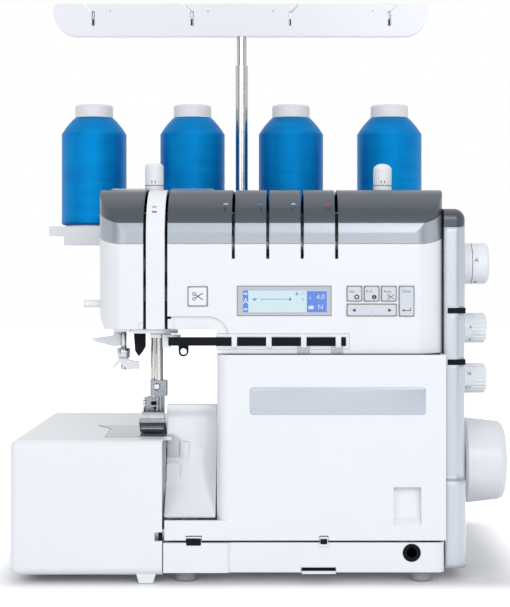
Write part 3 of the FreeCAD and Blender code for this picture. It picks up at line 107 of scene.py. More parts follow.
def makeCamera(view):
    data = bpy.data.cameras.new("photoCamera")
    data.sensor_width = view["sensor"]
    data.lens = view["lens"]
    data.shift_x, data.shift_y = view["shift"]
    data.clip_start, data.clip_end = view["clip"]
    camera = addObject("photoCamera", data)
    camera.location = (Vector(view["eye"]) + datum) * mm
    camera.rotation_euler = (math.pi / 2, 0.0, 0.0)
    scene.camera = camera


studio = {
    "skyLight": 0.60, "skyColor": (0.95, 0.97, 1.0, 1.0),
    "floorSize": 9.0, "floorPaint": (0.80, 0.80, 0.81, 1.0), "floorRough": 0.9,
    # The floor's glow is lowest at the machine's footprint and rises over a short reach: a painted shadow
    "paintedShadowGlow": 0.05, "paintedShadowReach": 0.085, "floorFoot": (0.185, 0.125, 0.0),
    "lamps": [
        {"name": "keyBox", "at": (0.65, -2.0, 1.0), "aim": (0.0, 0.0, 0.22), "size": (1.1, 1.0), "power": 14.5},
        {"name": "fillBox", "at": (-1.0, -2.0, 0.8), "aim": (0.0, 0.0, 0.2), "size": (0.9, 1.0), "power": 7.0},
        {"name": "topBox", "at": (0.0, 0.1, 1.9), "aim": (0.0, 0.0, 0.0), "size": (1.6, 1.2), "power": 3.0},
    ],
    "cardPaint": (0.015, 0.015, 0.017, 1.0), "cardLift": 0.02, "cardAimY": 0.1,
    "cards": [
        {"name": "cardLeft", "x": -1.3, "y": -1.0, "wide": 0.45, "tall": 1.6},
        {"name": "cardRight", "x": 0.95, "y": -1.25, "wide": 0.5, "tall": 1.6},
    ],
}


def seenByEye(tree):
    # 1 for rays from the camera, a mirror or glass
    rays = tree.nodes.new("ShaderNodeLightPath").outputs
    mirrored = mathNode(tree, "MAXIMUM", rays["Is Camera Ray"], rays["Is Glossy Ray"])
    return mathNode(tree, "MAXIMUM", mirrored, rays["Is Transmission Ray"])


def makeSky(kit):
    world = bpy.data.worlds.new("softStudio")
    scene.world = world
    world.use_nodes = True
    tree = world.node_tree
    sky = tree.nodes["Background"]
    fill(sky, {"Strength": kit["skyLight"], "Color": kit["skyColor"]})
    backdrop = tree.nodes.new("ShaderNodeBackground")
    fill(backdrop, {"Color": white})
    mix = tree.nodes.new("ShaderNodeMixShader")
    for source, socket in zip((seenByEye(tree), sky.outputs[0], backdrop.outputs[0]), mix.inputs):
        tree.links.new(source, socket)
    tree.links.new(mix.outputs[0], tree.nodes["World Output"].inputs["Surface"])


def makeLamp(lamp):
    data = bpy.data.lights.new(lamp["name"], "AREA")
    data.shape = "RECTANGLE"
    data.size, data.size_y = lamp["size"]
    data.energy = lamp["power"]
    obj = addObject(lamp["name"], data)
    obj.location = lamp["at"]
    obj.rotation_euler = (Vector(lamp["aim"]) - obj.location).to_track_quat("-Z", "Y").to_euler()


def addSheet(name, paint, matrix):
    # Sheet one metre square before the matrix sizes and places it
    bm = bmesh.new()
    bmesh.ops.create_grid(bm, x_segments=1, y_segments=1, size=0.5)
    bmesh.ops.transform(bm, matrix=matrix, verts=bm.verts)
    mesh = bpy.data.meshes.new(name)
    bm.to_mesh(mesh)
    bm.free()
    mesh.materials.append(paint)
    return addObject(name, mesh)


def makeFloor(kit):
    paint, tree, shader = newMaterial("paleFloor")
    fill(shader, {"Base Color": kit["floorPaint"], "Roughness": kit["floorRough"], "Emission Color": white})
    # Distance from the machine's footprint: the floor's glow is low there and rises to white beyond it, a painted
    # shadow round the machine
    away = vectorNode(tree, "ABSOLUTE", tree.nodes.new("ShaderNodeTexCoord").outputs["Object"])
    away = vectorNode(tree, "SUBTRACT", away, kit["floorFoot"])
    away = vectorNode(tree, "MAXIMUM", away, (0.0, 0.0, 0.0))
    paintedShadow = tree.nodes.new("ShaderNodeMapRange")
    paintedShadow.interpolation_type = "SMOOTHSTEP"
    fill(paintedShadow, {"From Min": 0.0, "From Max": kit["paintedShadowReach"], "To Min": kit["paintedShadowGlow"], "To Max": 1.0})
    tree.links.new(vectorNode(tree, "LENGTH", away, output="Value"), paintedShadow.inputs["Value"])
    glow = mathNode(tree, "MULTIPLY", seenByEye(tree), paintedShadow.outputs["Result"])
    tree.links.new(glow, shader.inputs["Emission Strength"])
    floor = addSheet("floor", paint, Matrix.Scale(kit["floorSize"], 4))


def makeCards(kit):
    # Dark cards beside the camera that only mirrors see, for streaks in the chrome
    paint, _, shader = newMaterial("darkCard")
    fill(shader, {"Base Color": kit["cardPaint"], "Roughness": 1.0})
    for card in kit["cards"]:
        spot = Vector((card["x"], card["y"], card["tall"] / 2 + kit["cardLift"]))
        aim = Vector((0.0, kit["cardAimY"], spot.z)) - spot
        size = Matrix.Diagonal((card["wide"], card["tall"], 1.0, 1.0))
        turn = aim.to_track_quat("Z", "Y").to_matrix().to_4x4()
        obj = addSheet(card["name"], paint, Matrix.Translation(spot) @ turn @ size)
        obj.visible_camera = obj.visible_diffuse = obj.visible_shadow = False


makeCamera(photoView)
makeSky(studio)
for lamp in studio["lamps"]:
    makeLamp(lamp)
makeFloor(studio)
makeCards(studio)
print("camera and studio set")


# Finishes: three shared skins, then one material for each finish

def noiseNode(tree, coordinates, scale, detail=3.0):
    node = tree.nodes.new("ShaderNodeTexNoise")
    for label, value in (("Vector", coordinates), ("Scale", scale), ("Detail", detail)):
        feed(tree, value, node.inputs[label])
    return node.outputs["Fac"]


def mixColor(tree, factor, a, b, blend="MIX"):
    node = tree.nodes.new("ShaderNodeMix")
    node.data_type = "RGBA"
    node.blend_type = blend
    sockets = {s.identifier: s for s in node.inputs}
    for key, value in (("Factor_Float", factor), ("A_Color", a), ("B_Color", b)):
        feed(tree, value, sockets[key])
    return next(s for s in node.outputs if s.identifier == "Result_Color")


def bumpNode(tree, height, distance, normal=None):
    node = tree.nodes.new("ShaderNodeBump")
    for label, value in (("Strength", 1.0), ("Distance", distance), ("Height", height), ("Normal", normal)):
        if value is not None:
            feed(tree, value, node.inputs[label])
    return node.outputs["Normal"]


def edgeMask(tree, rounded, gain):
    # Near 0 on flats and rising where the rounded normal leaves the face's own
    face = tree.nodes.new("ShaderNodeNewGeometry").outputs["Normal"]
    dot = vectorNode(tree, "DOT_PRODUCT", rounded, face, "Value")
    return mathNode(tree, "MULTIPLY", mathNode(tree, "SUBTRACT", 1.0, dot), gain, clamp=True)


skinTuning = {"cloudScale": 14.0, "cloudDetail": 4.0, "mottle": 0.03, "grainMiddle": 0.5, "speck": 0.22,
              "bevelSamples": 6, "edgeGain": 4.0, "edgeHighlight": 0.05,
              "grainRough": 0.16, "cloudRough": 0.06, "edgeRough": 0.06}
skinSockets = {
    "INPUT": {"Color": "Color", "Roughness": "Float", "Edge Radius": "Float", "Grain Scale": "Float",
              "Grain Depth": "Float", "Stretch": "Vector"},
    "OUTPUT": {"Color": "Color", "Roughness": "Float", "Normal": "Vector"},
}


def skinGroup(name, kind, tuning):
    # Colour, roughness and normal of a moulded, lacquered or brushed surface with softened edges, its colour
    # lighter along them as a painted highlight
    group = bpy.data.node_groups.new(name, "ShaderNodeTree")
    for way, sockets in skinSockets.items():
        for label, value in sockets.items():
            group.interface.new_socket(name=label, in_out=way, socket_type="NodeSocket" + value)
    given = group.nodes.new("NodeGroupInput").outputs
    result = group.nodes.new("NodeGroupOutput").inputs
    coordinates = group.nodes.new("ShaderNodeTexCoord").outputs["Object"]
    stretched = vectorNode(group, "MULTIPLY", coordinates, given["Stretch"])
    if kind == "flake":
        cells = group.nodes.new("ShaderNodeTexVoronoi")
        group.links.new(stretched, cells.inputs["Vector"])
        group.links.new(given["Grain Scale"], cells.inputs["Scale"])
        grain = cells.outputs["Distance"]
    else:
        grain = noiseNode(group, stretched, given["Grain Scale"])
    swing = mathNode(group, "SUBTRACT", grain, tuning["grainMiddle"])
    cloud = noiseNode(group, coordinates, tuning["cloudScale"], tuning["cloudDetail"])
    bevel = group.nodes.new("ShaderNodeBevel")
    bevel.samples = tuning["bevelSamples"]
    group.links.new(given["Edge Radius"], bevel.inputs["Radius"])
    rounded = bevel.outputs[0]
    edge = edgeMask(group, rounded, tuning["edgeGain"])
    toneWithHighlight = scaled(group, cloud, -tuning["mottle"], 1.0)
    if kind != "moulded":
        toneWithHighlight = scaled(group, swing, tuning["speck"], toneWithHighlight)
    # Colour a little lighter along rounded edges: a painted highlight
    toneWithHighlight = scaled(group, edge, tuning["edgeHighlight"], toneWithHighlight)
    tone = group.nodes.new("ShaderNodeCombineColor")
    for channel in tone.inputs[:3]:
        group.links.new(toneWithHighlight, channel)
    rough = scaled(group, swing, tuning["grainRough"], given["Roughness"])
    rough = scaled(group, cloud, tuning["cloudRough"], rough)
    made = {
        "Color": mixColor(group, 1.0, given["Color"], tone.outputs[0], "MULTIPLY"),
        "Roughness": scaled(group, edge, -tuning["edgeRough"], rough, clamp=True),
        "Normal": bumpNode(group, grain, given["Grain Depth"], rounded),
    }
    for label, socket in made.items():
        group.links.new(socket, result[label])
    return group


skinNames = {"moulded": "mouldedSkin", "flake": "flakeLacquer", "brushed": "brushedMetal"}
skins = {kind: skinGroup(name, kind, skinTuning) for kind, name in skinNames.items()}

# Colours are linear, edges and depths are in metres, and grain counts cells in a metre
plainLook = {"skin": "moulded", "metal": 0.0, "coat": 0.0, "coatRough": 0.12, "spec": 0.5, "grain": 1100.0,
             "depth": 0.000012, "stretch": (1.0, 1.0, 1.0)}
lacquer = {"skin": "flake", "rough": 0.33, "coat": 0.35, "edge": 0.0009, "grain": 2600.0, "depth": 0.000004}
steel = {"skin": "brushed", "rough": 0.30, "metal": 1.0, "edge": 0.0004, "grain": 700.0, "depth": 0.000004,
         "stretch": (1.0, 1.0, 0.06)}
finishes = {
    "coverWhite": {"color": (0.85, 0.875, 0.91), "rough": 0.30, "coat": 0.25, "edge": 0.0009},
    "satinWhite": {"color": (0.84, 0.865, 0.90), "rough": 0.46, "edge": 0.0007, "grain": 1600.0,
                   "depth": 0.00003},
    # A darker copy of the cover white, for the handwheel facing the key lamp and the cone tray under the cones:
    # painted shade
    "shadedWhite": {"color": (0.78, 0.80, 0.83), "rough": 0.36, "coat": 0.15, "edge": 0.0012},
    "coreWhite": {"color": (0.82, 0.83, 0.84), "rough": 0.42, "edge": 0.0008},
    "topGrey": {**lacquer, "color": (0.055, 0.070, 0.087), "metal": 0.40},
    "bandSilver": {**lacquer, "color": (0.345, 0.38, 0.425), "metal": 0.55, "coat": 0.30},
    "columnSilver": {**lacquer, "color": (0.47, 0.51, 0.56), "rough": 0.30, "metal": 0.62, "edge": 0.0055},
    "rimBrown": {"color": (0.30, 0.27, 0.24), "rough": 0.5, "edge": 0.0002},
    "blackMould": {"color": (0.004, 0.006, 0.009), "rough": 0.5, "spec": 0.10, "edge": 0.0005, "grain": 2200.0,
                   "depth": 0.00003},
    "keyGrey": {"color": (0.66, 0.70, 0.77), "rough": 0.5, "edge": 0.0006, "grain": 2200.0, "depth": 0.00002},
    "bezelGrey": {"color": (0.50, 0.54, 0.60), "rough": 0.4, "edge": 0.0005},
    "plateSilver": {**lacquer, "color": (0.44, 0.48, 0.54), "rough": 0.36, "metal": 0.45, "coat": 0.3,
                    "edge": 0.0004, "depth": 0.000003},
    # Rubber feet given the grey of the shadow round them instead of the rubber's black: painted shade
    "feetShadowGrey": {"color": (0.33, 0.335, 0.34), "rough": 0.7, "edge": 0.0008},
    "boardGreen": {"color": (0.02, 0.12, 0.05), "rough": 0.5, "edge": 0.0003},
    "footSteel": {**steel, "color": (0.46, 0.47, 0.49), "rough": 0.26},
    "darkSteel": {**steel, "color": (0.25, 0.275, 0.31)},
    "plateSteel": {**steel, "color": (0.50, 0.52, 0.54), "stretch": (0.05, 1.0, 1.0)},
    "barSteel": {**steel, "color": (0.52, 0.51, 0.50), "rough": 0.16, "edge": 0.0003, "grain": 900.0,
                 "depth": 0.000002, "stretch": (1.0, 1.0, 0.05)},
    "mastChrome": {**steel, "color": (0.50, 0.51, 0.53), "rough": 0.12, "grain": 300.0, "depth": 0.0,
                   "stretch": (1.0, 1.0, 0.03)},
    "castMetal": {"skin": "brushed", "color": (0.42, 0.43, 0.45), "rough": 0.5, "metal": 0.8, "edge": 0.0008,
                  "grain": 420.0, "depth": 0.00006},
    "motorPaint": {"color": (0.05, 0.055, 0.06), "rough": 0.45, "edge": 0.0008},
    "bushBronze": {"skin": "brushed", "color": (0.45, 0.27, 0.10), "rough": 0.4, "metal": 1.0, "edge": 0.0004,
                   "grain": 900.0, "depth": 0.00001},
    "rubberBlack": {"color": (0.02, 0.02, 0.022), "rough": 0.75, "edge": 0.0008, "grain": 1500.0,
                    "depth": 0.00005},
}


def makeFinish(name, finish):
    look = {**plainLook, **finish}
    material, tree, shader = newMaterial(name)
    fill(shader, {"Metallic": look["metal"], "Coat Weight": look["coat"], "Coat Roughness": look["coatRough"],
                  "Specular IOR Level": look["spec"]})
    skin = tree.nodes.new("ShaderNodeGroup")
    skin.node_tree = skins[look["skin"]]
    fill(skin, {"Color": (*look["color"], 1.0), "Roughness": look["rough"], "Edge Radius": look["edge"],
                "Grain Scale": look["grain"], "Grain Depth": look["depth"], "Stretch": look["stretch"]})
    for label, socket in (("Color", "Base Color"), ("Roughness", "Roughness"), ("Normal", "Normal")):
        tree.links.new(skin.outputs[label], shader.inputs[socket])
    return material


threadLook = {"blue": (0.0, 0.27, 0.66), "deep": (0.0, 0.105, 0.34), "lines": 170.0, "lay": 1.0,
              "depth": 0.00006, "lustre": 0.6, "spec": 0.08, "rough": 0.36, "bandRough": 0.2,
              "bandStretch": (0.12, 0.12, 1.0), "bandScale": 150.0, "bandDetail": 5.0, "drift": 1.2,
              "grooveShade": 0.35, "bandTint": 0.9}


def makeThread(look):
    # Thread wound almost level, on the cone's own UV map, in bands of slightly different tone, with painted shade
    # in the grooves between strands
    material, tree, shader = newMaterial("blueThread")
    coordinates = tree.nodes.new("ShaderNodeTexCoord").outputs
    split = tree.nodes.new("ShaderNodeSeparateXYZ")
    tree.links.new(coordinates["UV"], split.inputs[0])
    flat = vectorNode(tree, "MULTIPLY", coordinates["Object"], look["bandStretch"])
    band = noiseNode(tree, flat, look["bandScale"], look["bandDetail"])
    height = scaled(tree, split.outputs["Y"], look["lines"],
                    mathNode(tree, "MULTIPLY", split.outputs["X"], look["lay"]))
    phase = scaled(tree, band, look["drift"], height)
    wave = mathNode(tree, "SINE", mathNode(tree, "MULTIPLY", phase, math.tau))
    strand = scaled(tree, wave, 0.5, 0.5)
    tone = mathNode(tree, "MULTIPLY", band, look["bandTint"])
    # Colour follows the strands' bump, deeper blue in the grooves between them: painted shade; the bands add
    # random tone
    toneAndGrooveShade = scaled(tree, strand, look["grooveShade"], tone, clamp=True)
    tree.links.new(mixColor(tree, toneAndGrooveShade, look["deep"], look["blue"]), shader.inputs["Base Color"])
    tree.links.new(scaled(tree, band, look["bandRough"], look["rough"]), shader.inputs["Roughness"])
    tree.links.new(bumpNode(tree, strand, look["depth"]), shader.inputs["Normal"])
    fill(shader, {"Metallic": look["lustre"], "Specular IOR Level": look["spec"]})
    return material


inkLook = {"rough": 0.55, "glow": 0.0, "cloudScale": 700.0, "cloudDetail": 2.0, "cloudRough": 0.1,
           "darker": 0.9}
inks = {
    "inkBlack": {"color": (0.015, 0.015, 0.018)},
    "inkGrey": {"color": (0.12, 0.125, 0.14)},
    "inkPale": {"color": (0.45, 0.46, 0.48)},
    "inkBlue": {"color": (0.0, 0.20, 0.55)},
    "inkSky": {"color": (0.25, 0.52, 0.85)},
    "inkRose": {"color": (0.36, 0.03, 0.22)},
    "lcdPale": {"color": (0.64, 0.78, 0.83), "rough": 0.4, "glow": 0.04},
    "lcdBlue": {"color": (0.12, 0.23, 0.74), "rough": 0.4, "glow": 0.04},
    "lcdSoft": {"color": (0.20, 0.34, 0.76), "rough": 0.4, "glow": 0.04},
}


def makeInk(name, ink):
    # Printed ink with a faint screen-print mottle
    look = {**inkLook, **ink}
    material, tree, shader = newMaterial(name)
    coordinates = tree.nodes.new("ShaderNodeTexCoord").outputs["Object"]
    cloud = noiseNode(tree, coordinates, look["cloudScale"], look["cloudDetail"])
    darker = tuple(look["darker"] * c for c in look["color"])
    rough = scaled(tree, cloud, look["cloudRough"], look["rough"] - look["cloudRough"] / 2)
    tree.links.new(mixColor(tree, cloud, darker, look["color"]), shader.inputs["Base Color"])
    tree.links.new(rough, shader.inputs["Roughness"])
    fill(shader, {"Emission Color": (*look["color"], 1.0), "Emission Strength": look["glow"]})
    return material


clearLook = {"color": (0.92, 0.95, 0.98, 1.0), "clear": 0.85, "ior": 1.45, "dustScale": 80.0, "dust": 0.12,
             "rough": 0.04}


def makeClear(look):
    # Thin clear plate, a little dusty
    material, tree, shader = newMaterial("clearPlate")
    fill(shader, {"Base Color": look["color"], "Transmission Weight": look["clear"], "IOR": look["ior"]})
    cloud = noiseNode(tree, tree.nodes.new("ShaderNodeTexCoord").outputs["Object"], look["dustScale"])
    tree.links.new(scaled(tree, cloud, look["dust"], look["rough"]), shader.inputs["Roughness"])
    return material


materials = {name: makeFinish(name, finish) for name, finish in finishes.items()}
materials["blueThread"] = makeThread(threadLook)
materials.update({name: makeInk(name, ink) for name, ink in inks.items()})
materials["clearPlate"] = makeClear(clearLook)

nodeFinish = {
    "coverWhite": "base_tray front_cover rear_cover thread_strip chute_cover looper_cover extension_table "
                  "thread_guide_bar cutter_key set_key info_key auto_key arrow_key enter_key",
    "shadedWhite": "handwheel cone_tray",
    "satinWhite": "stitch_dial differential_dial length_dial pressure_knob top_knob spool_pins threader_lever",
    "coreWhite": "cone_cores",
    "topGrey": "top_cover side_cap",
    "bandSilver": "silver_band",
    "columnSilver": "side_cover",
    "blackMould": "front_thread_guide knee_socket power_inlet power_switch",
    "bezelGrey": "display_window",
    "boardGreen": "circuit_board",
    "footSteel": "lower_knife upper_knife upper_looper lower_looper feed_dogs needles tension_units cover_screws",
    "darkSteel": "needle_clamp presser_foot",
    "plateSteel": "needle_plate",
    "barSteel": "needle_bar presser_bar main_shaft motor_pulley",
    "mastChrome": "mast_tube mast_rod",
    "castMetal": "main_frame",
    "motorPaint": "motor",
    "bushBronze": "shaft_bushes",
    "rubberBlack": "drive_belt",
    "feetShadowGrey": "rubber_feet",
}
for finish, names in nodeFinish.items():
    for name in names.split():
        nodes[name].data.materials.clear()
        nodes[name].data.materials.append(materials[finish])
print("finishes:", len(materials))


# Mesh helpers: every piece is written in millimetres and ends at its place in metres

def ease(bm, edges, radius, segments=3):
    bmesh.ops.bevel(bm, geom=list(edges), offset=radius, offset_type="OFFSET", segments=segments,
                    profile=0.5, affect="EDGES", material=-1)


def addBox(bm, low, high, corner=0.0, rim=0.0, along="Y"):
    # Block whose edges along one axis are rounded by corner and the others by rim
    verts = bmesh.ops.create_cube(bm, size=1.0)["verts"]
    size = Vector(high) - Vector(low)
    bmesh.ops.scale(bm, vec=size, verts=verts)
    bmesh.ops.translate(bm, vec=(Vector(low) + Vector(high)) / 2, verts=verts)
    faces = {f for v in verts for f in v.link_faces}
    axis = "XYZ".index(along)
    if corner:
        edges = [e for e in {e for v in verts for e in v.link_edges}
                 if abs((e.verts[0].co - e.verts[1].co)[axis]) > 1e-4]
        ease(bm, edges, corner, 5)
        faces = {f for f in bm.faces if f.is_valid and inside(f.calc_center_median(), low, high)}
    if rim:
        caps = [f for f in faces if abs(f.normal[axis]) > 0.9]
        ease(bm, {e for f in caps for e in f.edges}, rim, 2)


def inside(point, low, high, slack=1e-3):
    return all(low[i] - slack <= point[i] <= high[i] + slack for i in range(3))


def addLathe(bm, profile, centre, axis="Z", steps=48):
    # Profile of (radius, height) pairs turned round an axis through centre
    turn = {"Z": Matrix.Identity(4), "X": Matrix.Rotation(math.pi / 2, 4, "Y"),
            "Y": Matrix.Rotation(-math.pi / 2, 4, "X")}[axis]
    verts = [bm.verts.new((r, 0.0, h)) for r, h in profile]
    edges = [bm.edges.new(pair) for pair in zip(verts, verts[1:])]
    made = bmesh.ops.spin(bm, geom=verts + edges, cent=(0, 0, 0), axis=(0, 0, 1), angle=math.tau,
                          steps=steps, use_merge=True)
    ring = set()
    more = set(verts) | {g for g in made["geom_last"] if isinstance(g, bmesh.types.BMVert)}
    while more:
        ring |= more
        more = {v for r in more for e in r.link_edges for v in e.verts} - ring
    bmesh.ops.transform(bm, matrix=Matrix.Translation(centre) @ turn, verts=list(ring))


def addPrism(bm, points, push):
    # Flat face through the points, pushed into a solid
    face = bm.faces.new([bm.verts.new(point) for point in points])
    top = bmesh.ops.extrude_face_region(bm, geom=[face])["geom"]
    bmesh.ops.translate(bm, vec=push, verts=[g for g in top if isinstance(g, bmesh.types.BMVert)])


def addPlate(bm, outline, low, high, axis="Y"):
    # Flat outline in the plane across an axis, pushed from low to high along it
    at = "XYZ".index(axis)
    push = Vector()
    push[at] = high - low
    addPrism(bm, [(*spot[:at], low, *spot[at:]) for spot in outline], push)


def addText(bm, words, size, matrix, thick=0.06):
    curve = bpy.data.curves.new("words", "FONT")
    curve.body = words
    curve.size = size
    curve.align_x = curve.align_y = "CENTER"
    curve.extrude = thick / 2
    curve.resolution_u = 3
    obj = addObject("words", curve)
    bpy.context.view_layer.update()
    mesh = bpy.data.meshes.new_from_object(obj.evaluated_get(bpy.context.evaluated_depsgraph_get()))
    mesh.transform(matrix)
    bm.from_mesh(mesh)
    bpy.data.objects.remove(obj)
    bpy.data.curves.remove(curve)
    bpy.data.meshes.remove(mesh)


def onFront(x, y, z):
    # Turns words to face the operator at a point of the front
    return Matrix.Translation((x, y, z)) @ Matrix.Rotation(math.pi / 2, 4, "X")


def circle(radius, tall=1.0, steps=16, x=0.0, y=0.0):
    return [(x + radius * math.cos(math.tau * i / steps), y + tall * radius * math.sin(math.tau * i / steps))
            for i in range(steps)]


def oblong(wide, tall, x=0.0):
    return [(x - wide, -tall), (x + wide, -tall), (x + wide, tall), (x - wide, tall)]


def hoop(inner, outer, tall):
    # Profile of a ring for addLathe
    return [(inner, 0.0), (outer, 0.0), (outer, tall), (inner, tall), (inner, 0.0)]


def addDisc(bm, x, z, radius, y0, y1, steps=24):
    addPlate(bm, circle(radius, 1.0, steps, x, z), y0, y1)


def addRing(bm, x, z, outer, inner, y0, y1, steps=28):
    addLathe(bm, hoop(inner, outer, y1 - y0), (x, y0, z), "Y", steps)


def addStroke(bm, a, b, width, y0, y1):
    # Straight printed line between two points of the front
    run = Vector((b[0] - a[0], b[1] - a[1]))
    side = Vector((-run.y, run.x)).normalized() * width / 2
    addPlate(bm, [(a[0] + side.x, a[1] + side.y), (b[0] + side.x, b[1] + side.y),
                  (b[0] - side.x, b[1] - side.y), (a[0] - side.x, a[1] - side.y)], y0, y1)


def easeOutline(bm, radius):
    # Rounds the edges of plates that lie across Y, except those that run through them
    ease(bm, [e for e in bm.edges if abs(e.verts[0].co.y - e.verts[1].co.y) < 0.1], radius, 2)


def finishPiece(name, bm, finish, body, slot, replaced=(), sharp=40.0):
    bmesh.ops.remove_doubles(bm, verts=bm.verts, dist=1e-5)
    bmesh.ops.recalc_face_normals(bm, faces=bm.faces)
    bmesh.ops.translate(bm, vec=datum, verts=bm.verts)
    bmesh.ops.scale(bm, vec=(mm, mm, mm), verts=bm.verts)
    mesh = bpy.data.meshes.new(name)
    bm.to_mesh(mesh)
    bm.free()
    mesh.polygons.foreach_set("use_smooth", [True] * len(mesh.polygons))
    mesh.set_sharp_from_angle(angle=math.radians(sharp))
    mesh.materials.append(materials[finish])
    obj = addObject(name, mesh)
    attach(obj, body)
    if replaced:
        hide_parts(*replaced)


def makePiece(name, look, shapes, **options):
    # One piece drawn by a list of calls, each a helper and its values. Its look is (finish, body, slot)
    bm = bmesh.new()
    for draw, *values in shapes:
        draw(bm, *values)
    finishPiece(name, bm, *look, **options)


def makeBoxes(name, look, boxes, corner=0.0, rim=0.0, along="Y", each=False, **options):
    # One piece of blocks given as (x0, x1, y0, y1, z0, z1), or a numbered piece for each of them
    shapes = [(addBox, box[::2], box[1::2], corner, rim, along) for box in boxes]
    groups = {name + str(i + 1): [shape] for i, shape in enumerate(shapes)} if each else {name: shapes}
    for label, group in groups.items():
        makePiece(label, look, group, **options)


def makeAll(kits):
    for name, kit in kits.items():
        makeBoxes(name, **kit)


def camel(name):
    return name.title().replace("_", "")


blackPart = ("blackMould", "machine", "black_plastic")
whitePart = ("coverWhite", "machine", "white_plastic")


# Thread cones, wound on the white cores

cone = {"count": 4, "middle": -41.5, "pitch": 94.4, "y": 240.0, "low": 293.3, "radius": 31.2, "straight": 380.0,
        "top": 395.4, "neck": 19.0, "core": 15.1, "foot": 3.0, "settle": 0.3, "ripple": 0.0875, "ripples": 6.0,
        "bulge": 0.5, "dip": 0.2, "footSteps": 6, "rings": 40, "neckSteps": 8, "steps": 72, "stagger": 0.37}


def coneProfile(c):
    full, low, foot = c["radius"], c["low"], c["foot"]
    points = [(c["core"], low), (full - foot, low)]
    for i in range(1, c["footSteps"] + 1):
        turn = math.pi / 2 * i / c["footSteps"]
        points.append((full - foot * (1 - math.sin(turn)), low + foot * (1 - math.cos(turn))))
    side = full - c["settle"]
    for i in range(1, c["rings"]):
        up = i / c["rings"]
        ripple = c["ripple"] * math.sin(math.pi * up * c["ripples"])
        points.append((side - abs(ripple), low + foot + (c["straight"] - low - foot) * up))
    for i in range(c["neckSteps"] + 1):
        up = i / c["neckSteps"]
        bulge = c["bulge"] * math.sin(math.pi * up)
        points.append((side - (side - c["neck"]) * up + bulge,
                       c["straight"] + (c["top"] - c["straight"]) * up + bulge))
    points.append((c["core"], c["top"] - c["dip"]))
    return points


def makeCones(c):
    for i in range(c["count"]):
        x = c["middle"] + c["pitch"] * (i - (c["count"] - 1) / 2)
        bm = bmesh.new()
        addLathe(bm, coneProfile(c), (x, c["y"], 0.0), steps=c["steps"])
        wrap = bm.loops.layers.uv.new("winding")
        for face in bm.faces:
            middle = face.calc_center_median()
            home = math.atan2(middle.y - c["y"], middle.x - x)
            for loop in face.loops:
                spot = loop.vert.co
                turn = math.atan2(spot.y - c["y"], spot.x - x) - home
                turn = home + math.remainder(turn, math.tau)
                run = spot.z - c["low"] + (c["radius"] - math.hypot(spot.x - x, spot.y - c["y"]))
                loop[wrap].uv = (turn / math.tau + c["stagger"] * i, run / (c["top"] - c["low"]))
        finishPiece("woundCone%d" % (i + 1), bm, "blueThread", "machine", "thread",
                    ("thread_cone_%d" % (i + 1),), sharp=60.0)


makeCones(cone)
print("cones wound")


# Display face and key prints on the front cover

panel = {
    "screenCorner": 0.35, "screens": [("lcdFace", "lcdPale", (-33.8, 33.6, 7.28, 7.6, 218.0, 235.4)),
                                      ("lcdLeft", "lcdBlue", (-33.8, -29.6, 7.22, 7.6, 218.0, 235.4)),
                                      ("lcdRight", "lcdBlue", (17.6, 33.6, 7.22, 7.6, 218.0, 235.0))],
    "lcdInkY": (7.16, 7.4),
    "lcdSigns": {"finish": "lcdPale",
                 "words": [("A", 7.0, -31.7, 226.6), ("4.0", 5.6, 28.6, 230.2), ("N", 5.6, 28.6, 221.9),
                           ("L", 3.6, 20.6, 229.8)],
                 "strokes": [(-33.2, -30.2, 232.8, 1.4), (-33.2, -30.2, 220.4, 1.4)],
                 "boxes": [(18.8, 23.2, 220.4, 223.2, 0.9)],
                 "outlines": []},
    "lcdLines": {"finish": "lcdSoft",
                 "words": [("5 9", 2.6, 14.2, 232.8), ("9", 3.4, 14.4, 228.0)],
                 "strokes": [(-20.0, 5.6, 228.4, 0.5)],
                 "boxes": [(3.6, 4.7, 226.9, 229.9, 0.0), (8.6, 10.6, 231.6, 234.0, 0.5)],
                 "outlines": [[(-26.6, 228.6), (-24.2, 226.6), (-22.0, 229.8), (-23.2, 229.0),
                               (-24.4, 229.6)]]},
    # A layer's growth past the key, its depths and its corner
    "rimLayer": (0.2, 6.58, 6.76, 1.7), "capLayer": (-0.45, 6.5, 6.76, 1.2),
    "caps": [("key_cutter", "coverWhite", -78.0, -62.6, 223.0, 238.4),
             ("key_set", "keyGrey", 50.0, 61.8, 227.0, 238.8),
             ("key_info", "keyGrey", 63.85, 75.65, 227.0, 238.8),
             ("key_auto", "keyGrey", 77.7, 89.5, 227.0, 238.8),
             ("key_arrows", "keyGrey", 50.0, 89.6, 215.0, 224.4),
             ("key_enter", "keyGrey", 92.0, 103.8, 214.8, 238.8)],
    "inkY": (6.44, 6.55),
    "words": [("key_set", "Set", 53.9, 234.7, 3.2), ("key_info", "A-D", 67.8, 234.7, 3.1),
              ("key_auto", "Auto", 82.3, 234.7, 3.2), ("key_enter", "Enter", 97.9, 234.8, 3.2)],
    "gear": (57.8, 230.2, 1.75), "gearHole": 0.6, "teeth": 8, "toothFrom": 0.9, "toothTo": 1.3,
    "toothWide": 0.75,
    "info": (71.8, 230.2, 1.9), "infoLift": 0.05, "infoStem": (-1.1, 0.35, 0.62), "infoDot": (1.05, 0.38, 12),
    "scissors": [("signTrim", "key_auto", (85.2, 230.2, 1.0)), ("signCut", "key_cutter", (-70.2, 230.7, 1.55))],
    "arrows": [(55.3, -1.5), (84.5, 1.5)], "arrowZ": 219.6, "split": (69.15, 70.05, 6.44, 6.55, 215.2, 224.2),
    "turn": (98.3, 219.4), "turnWide": 0.55, "turnRun": (-3.2, 3.0), "turnRise": (2.75, 2.2),
    "turnTip": [(-4.2, 0.0), (-2.4, 0.95), (-2.4, -0.95)],
}


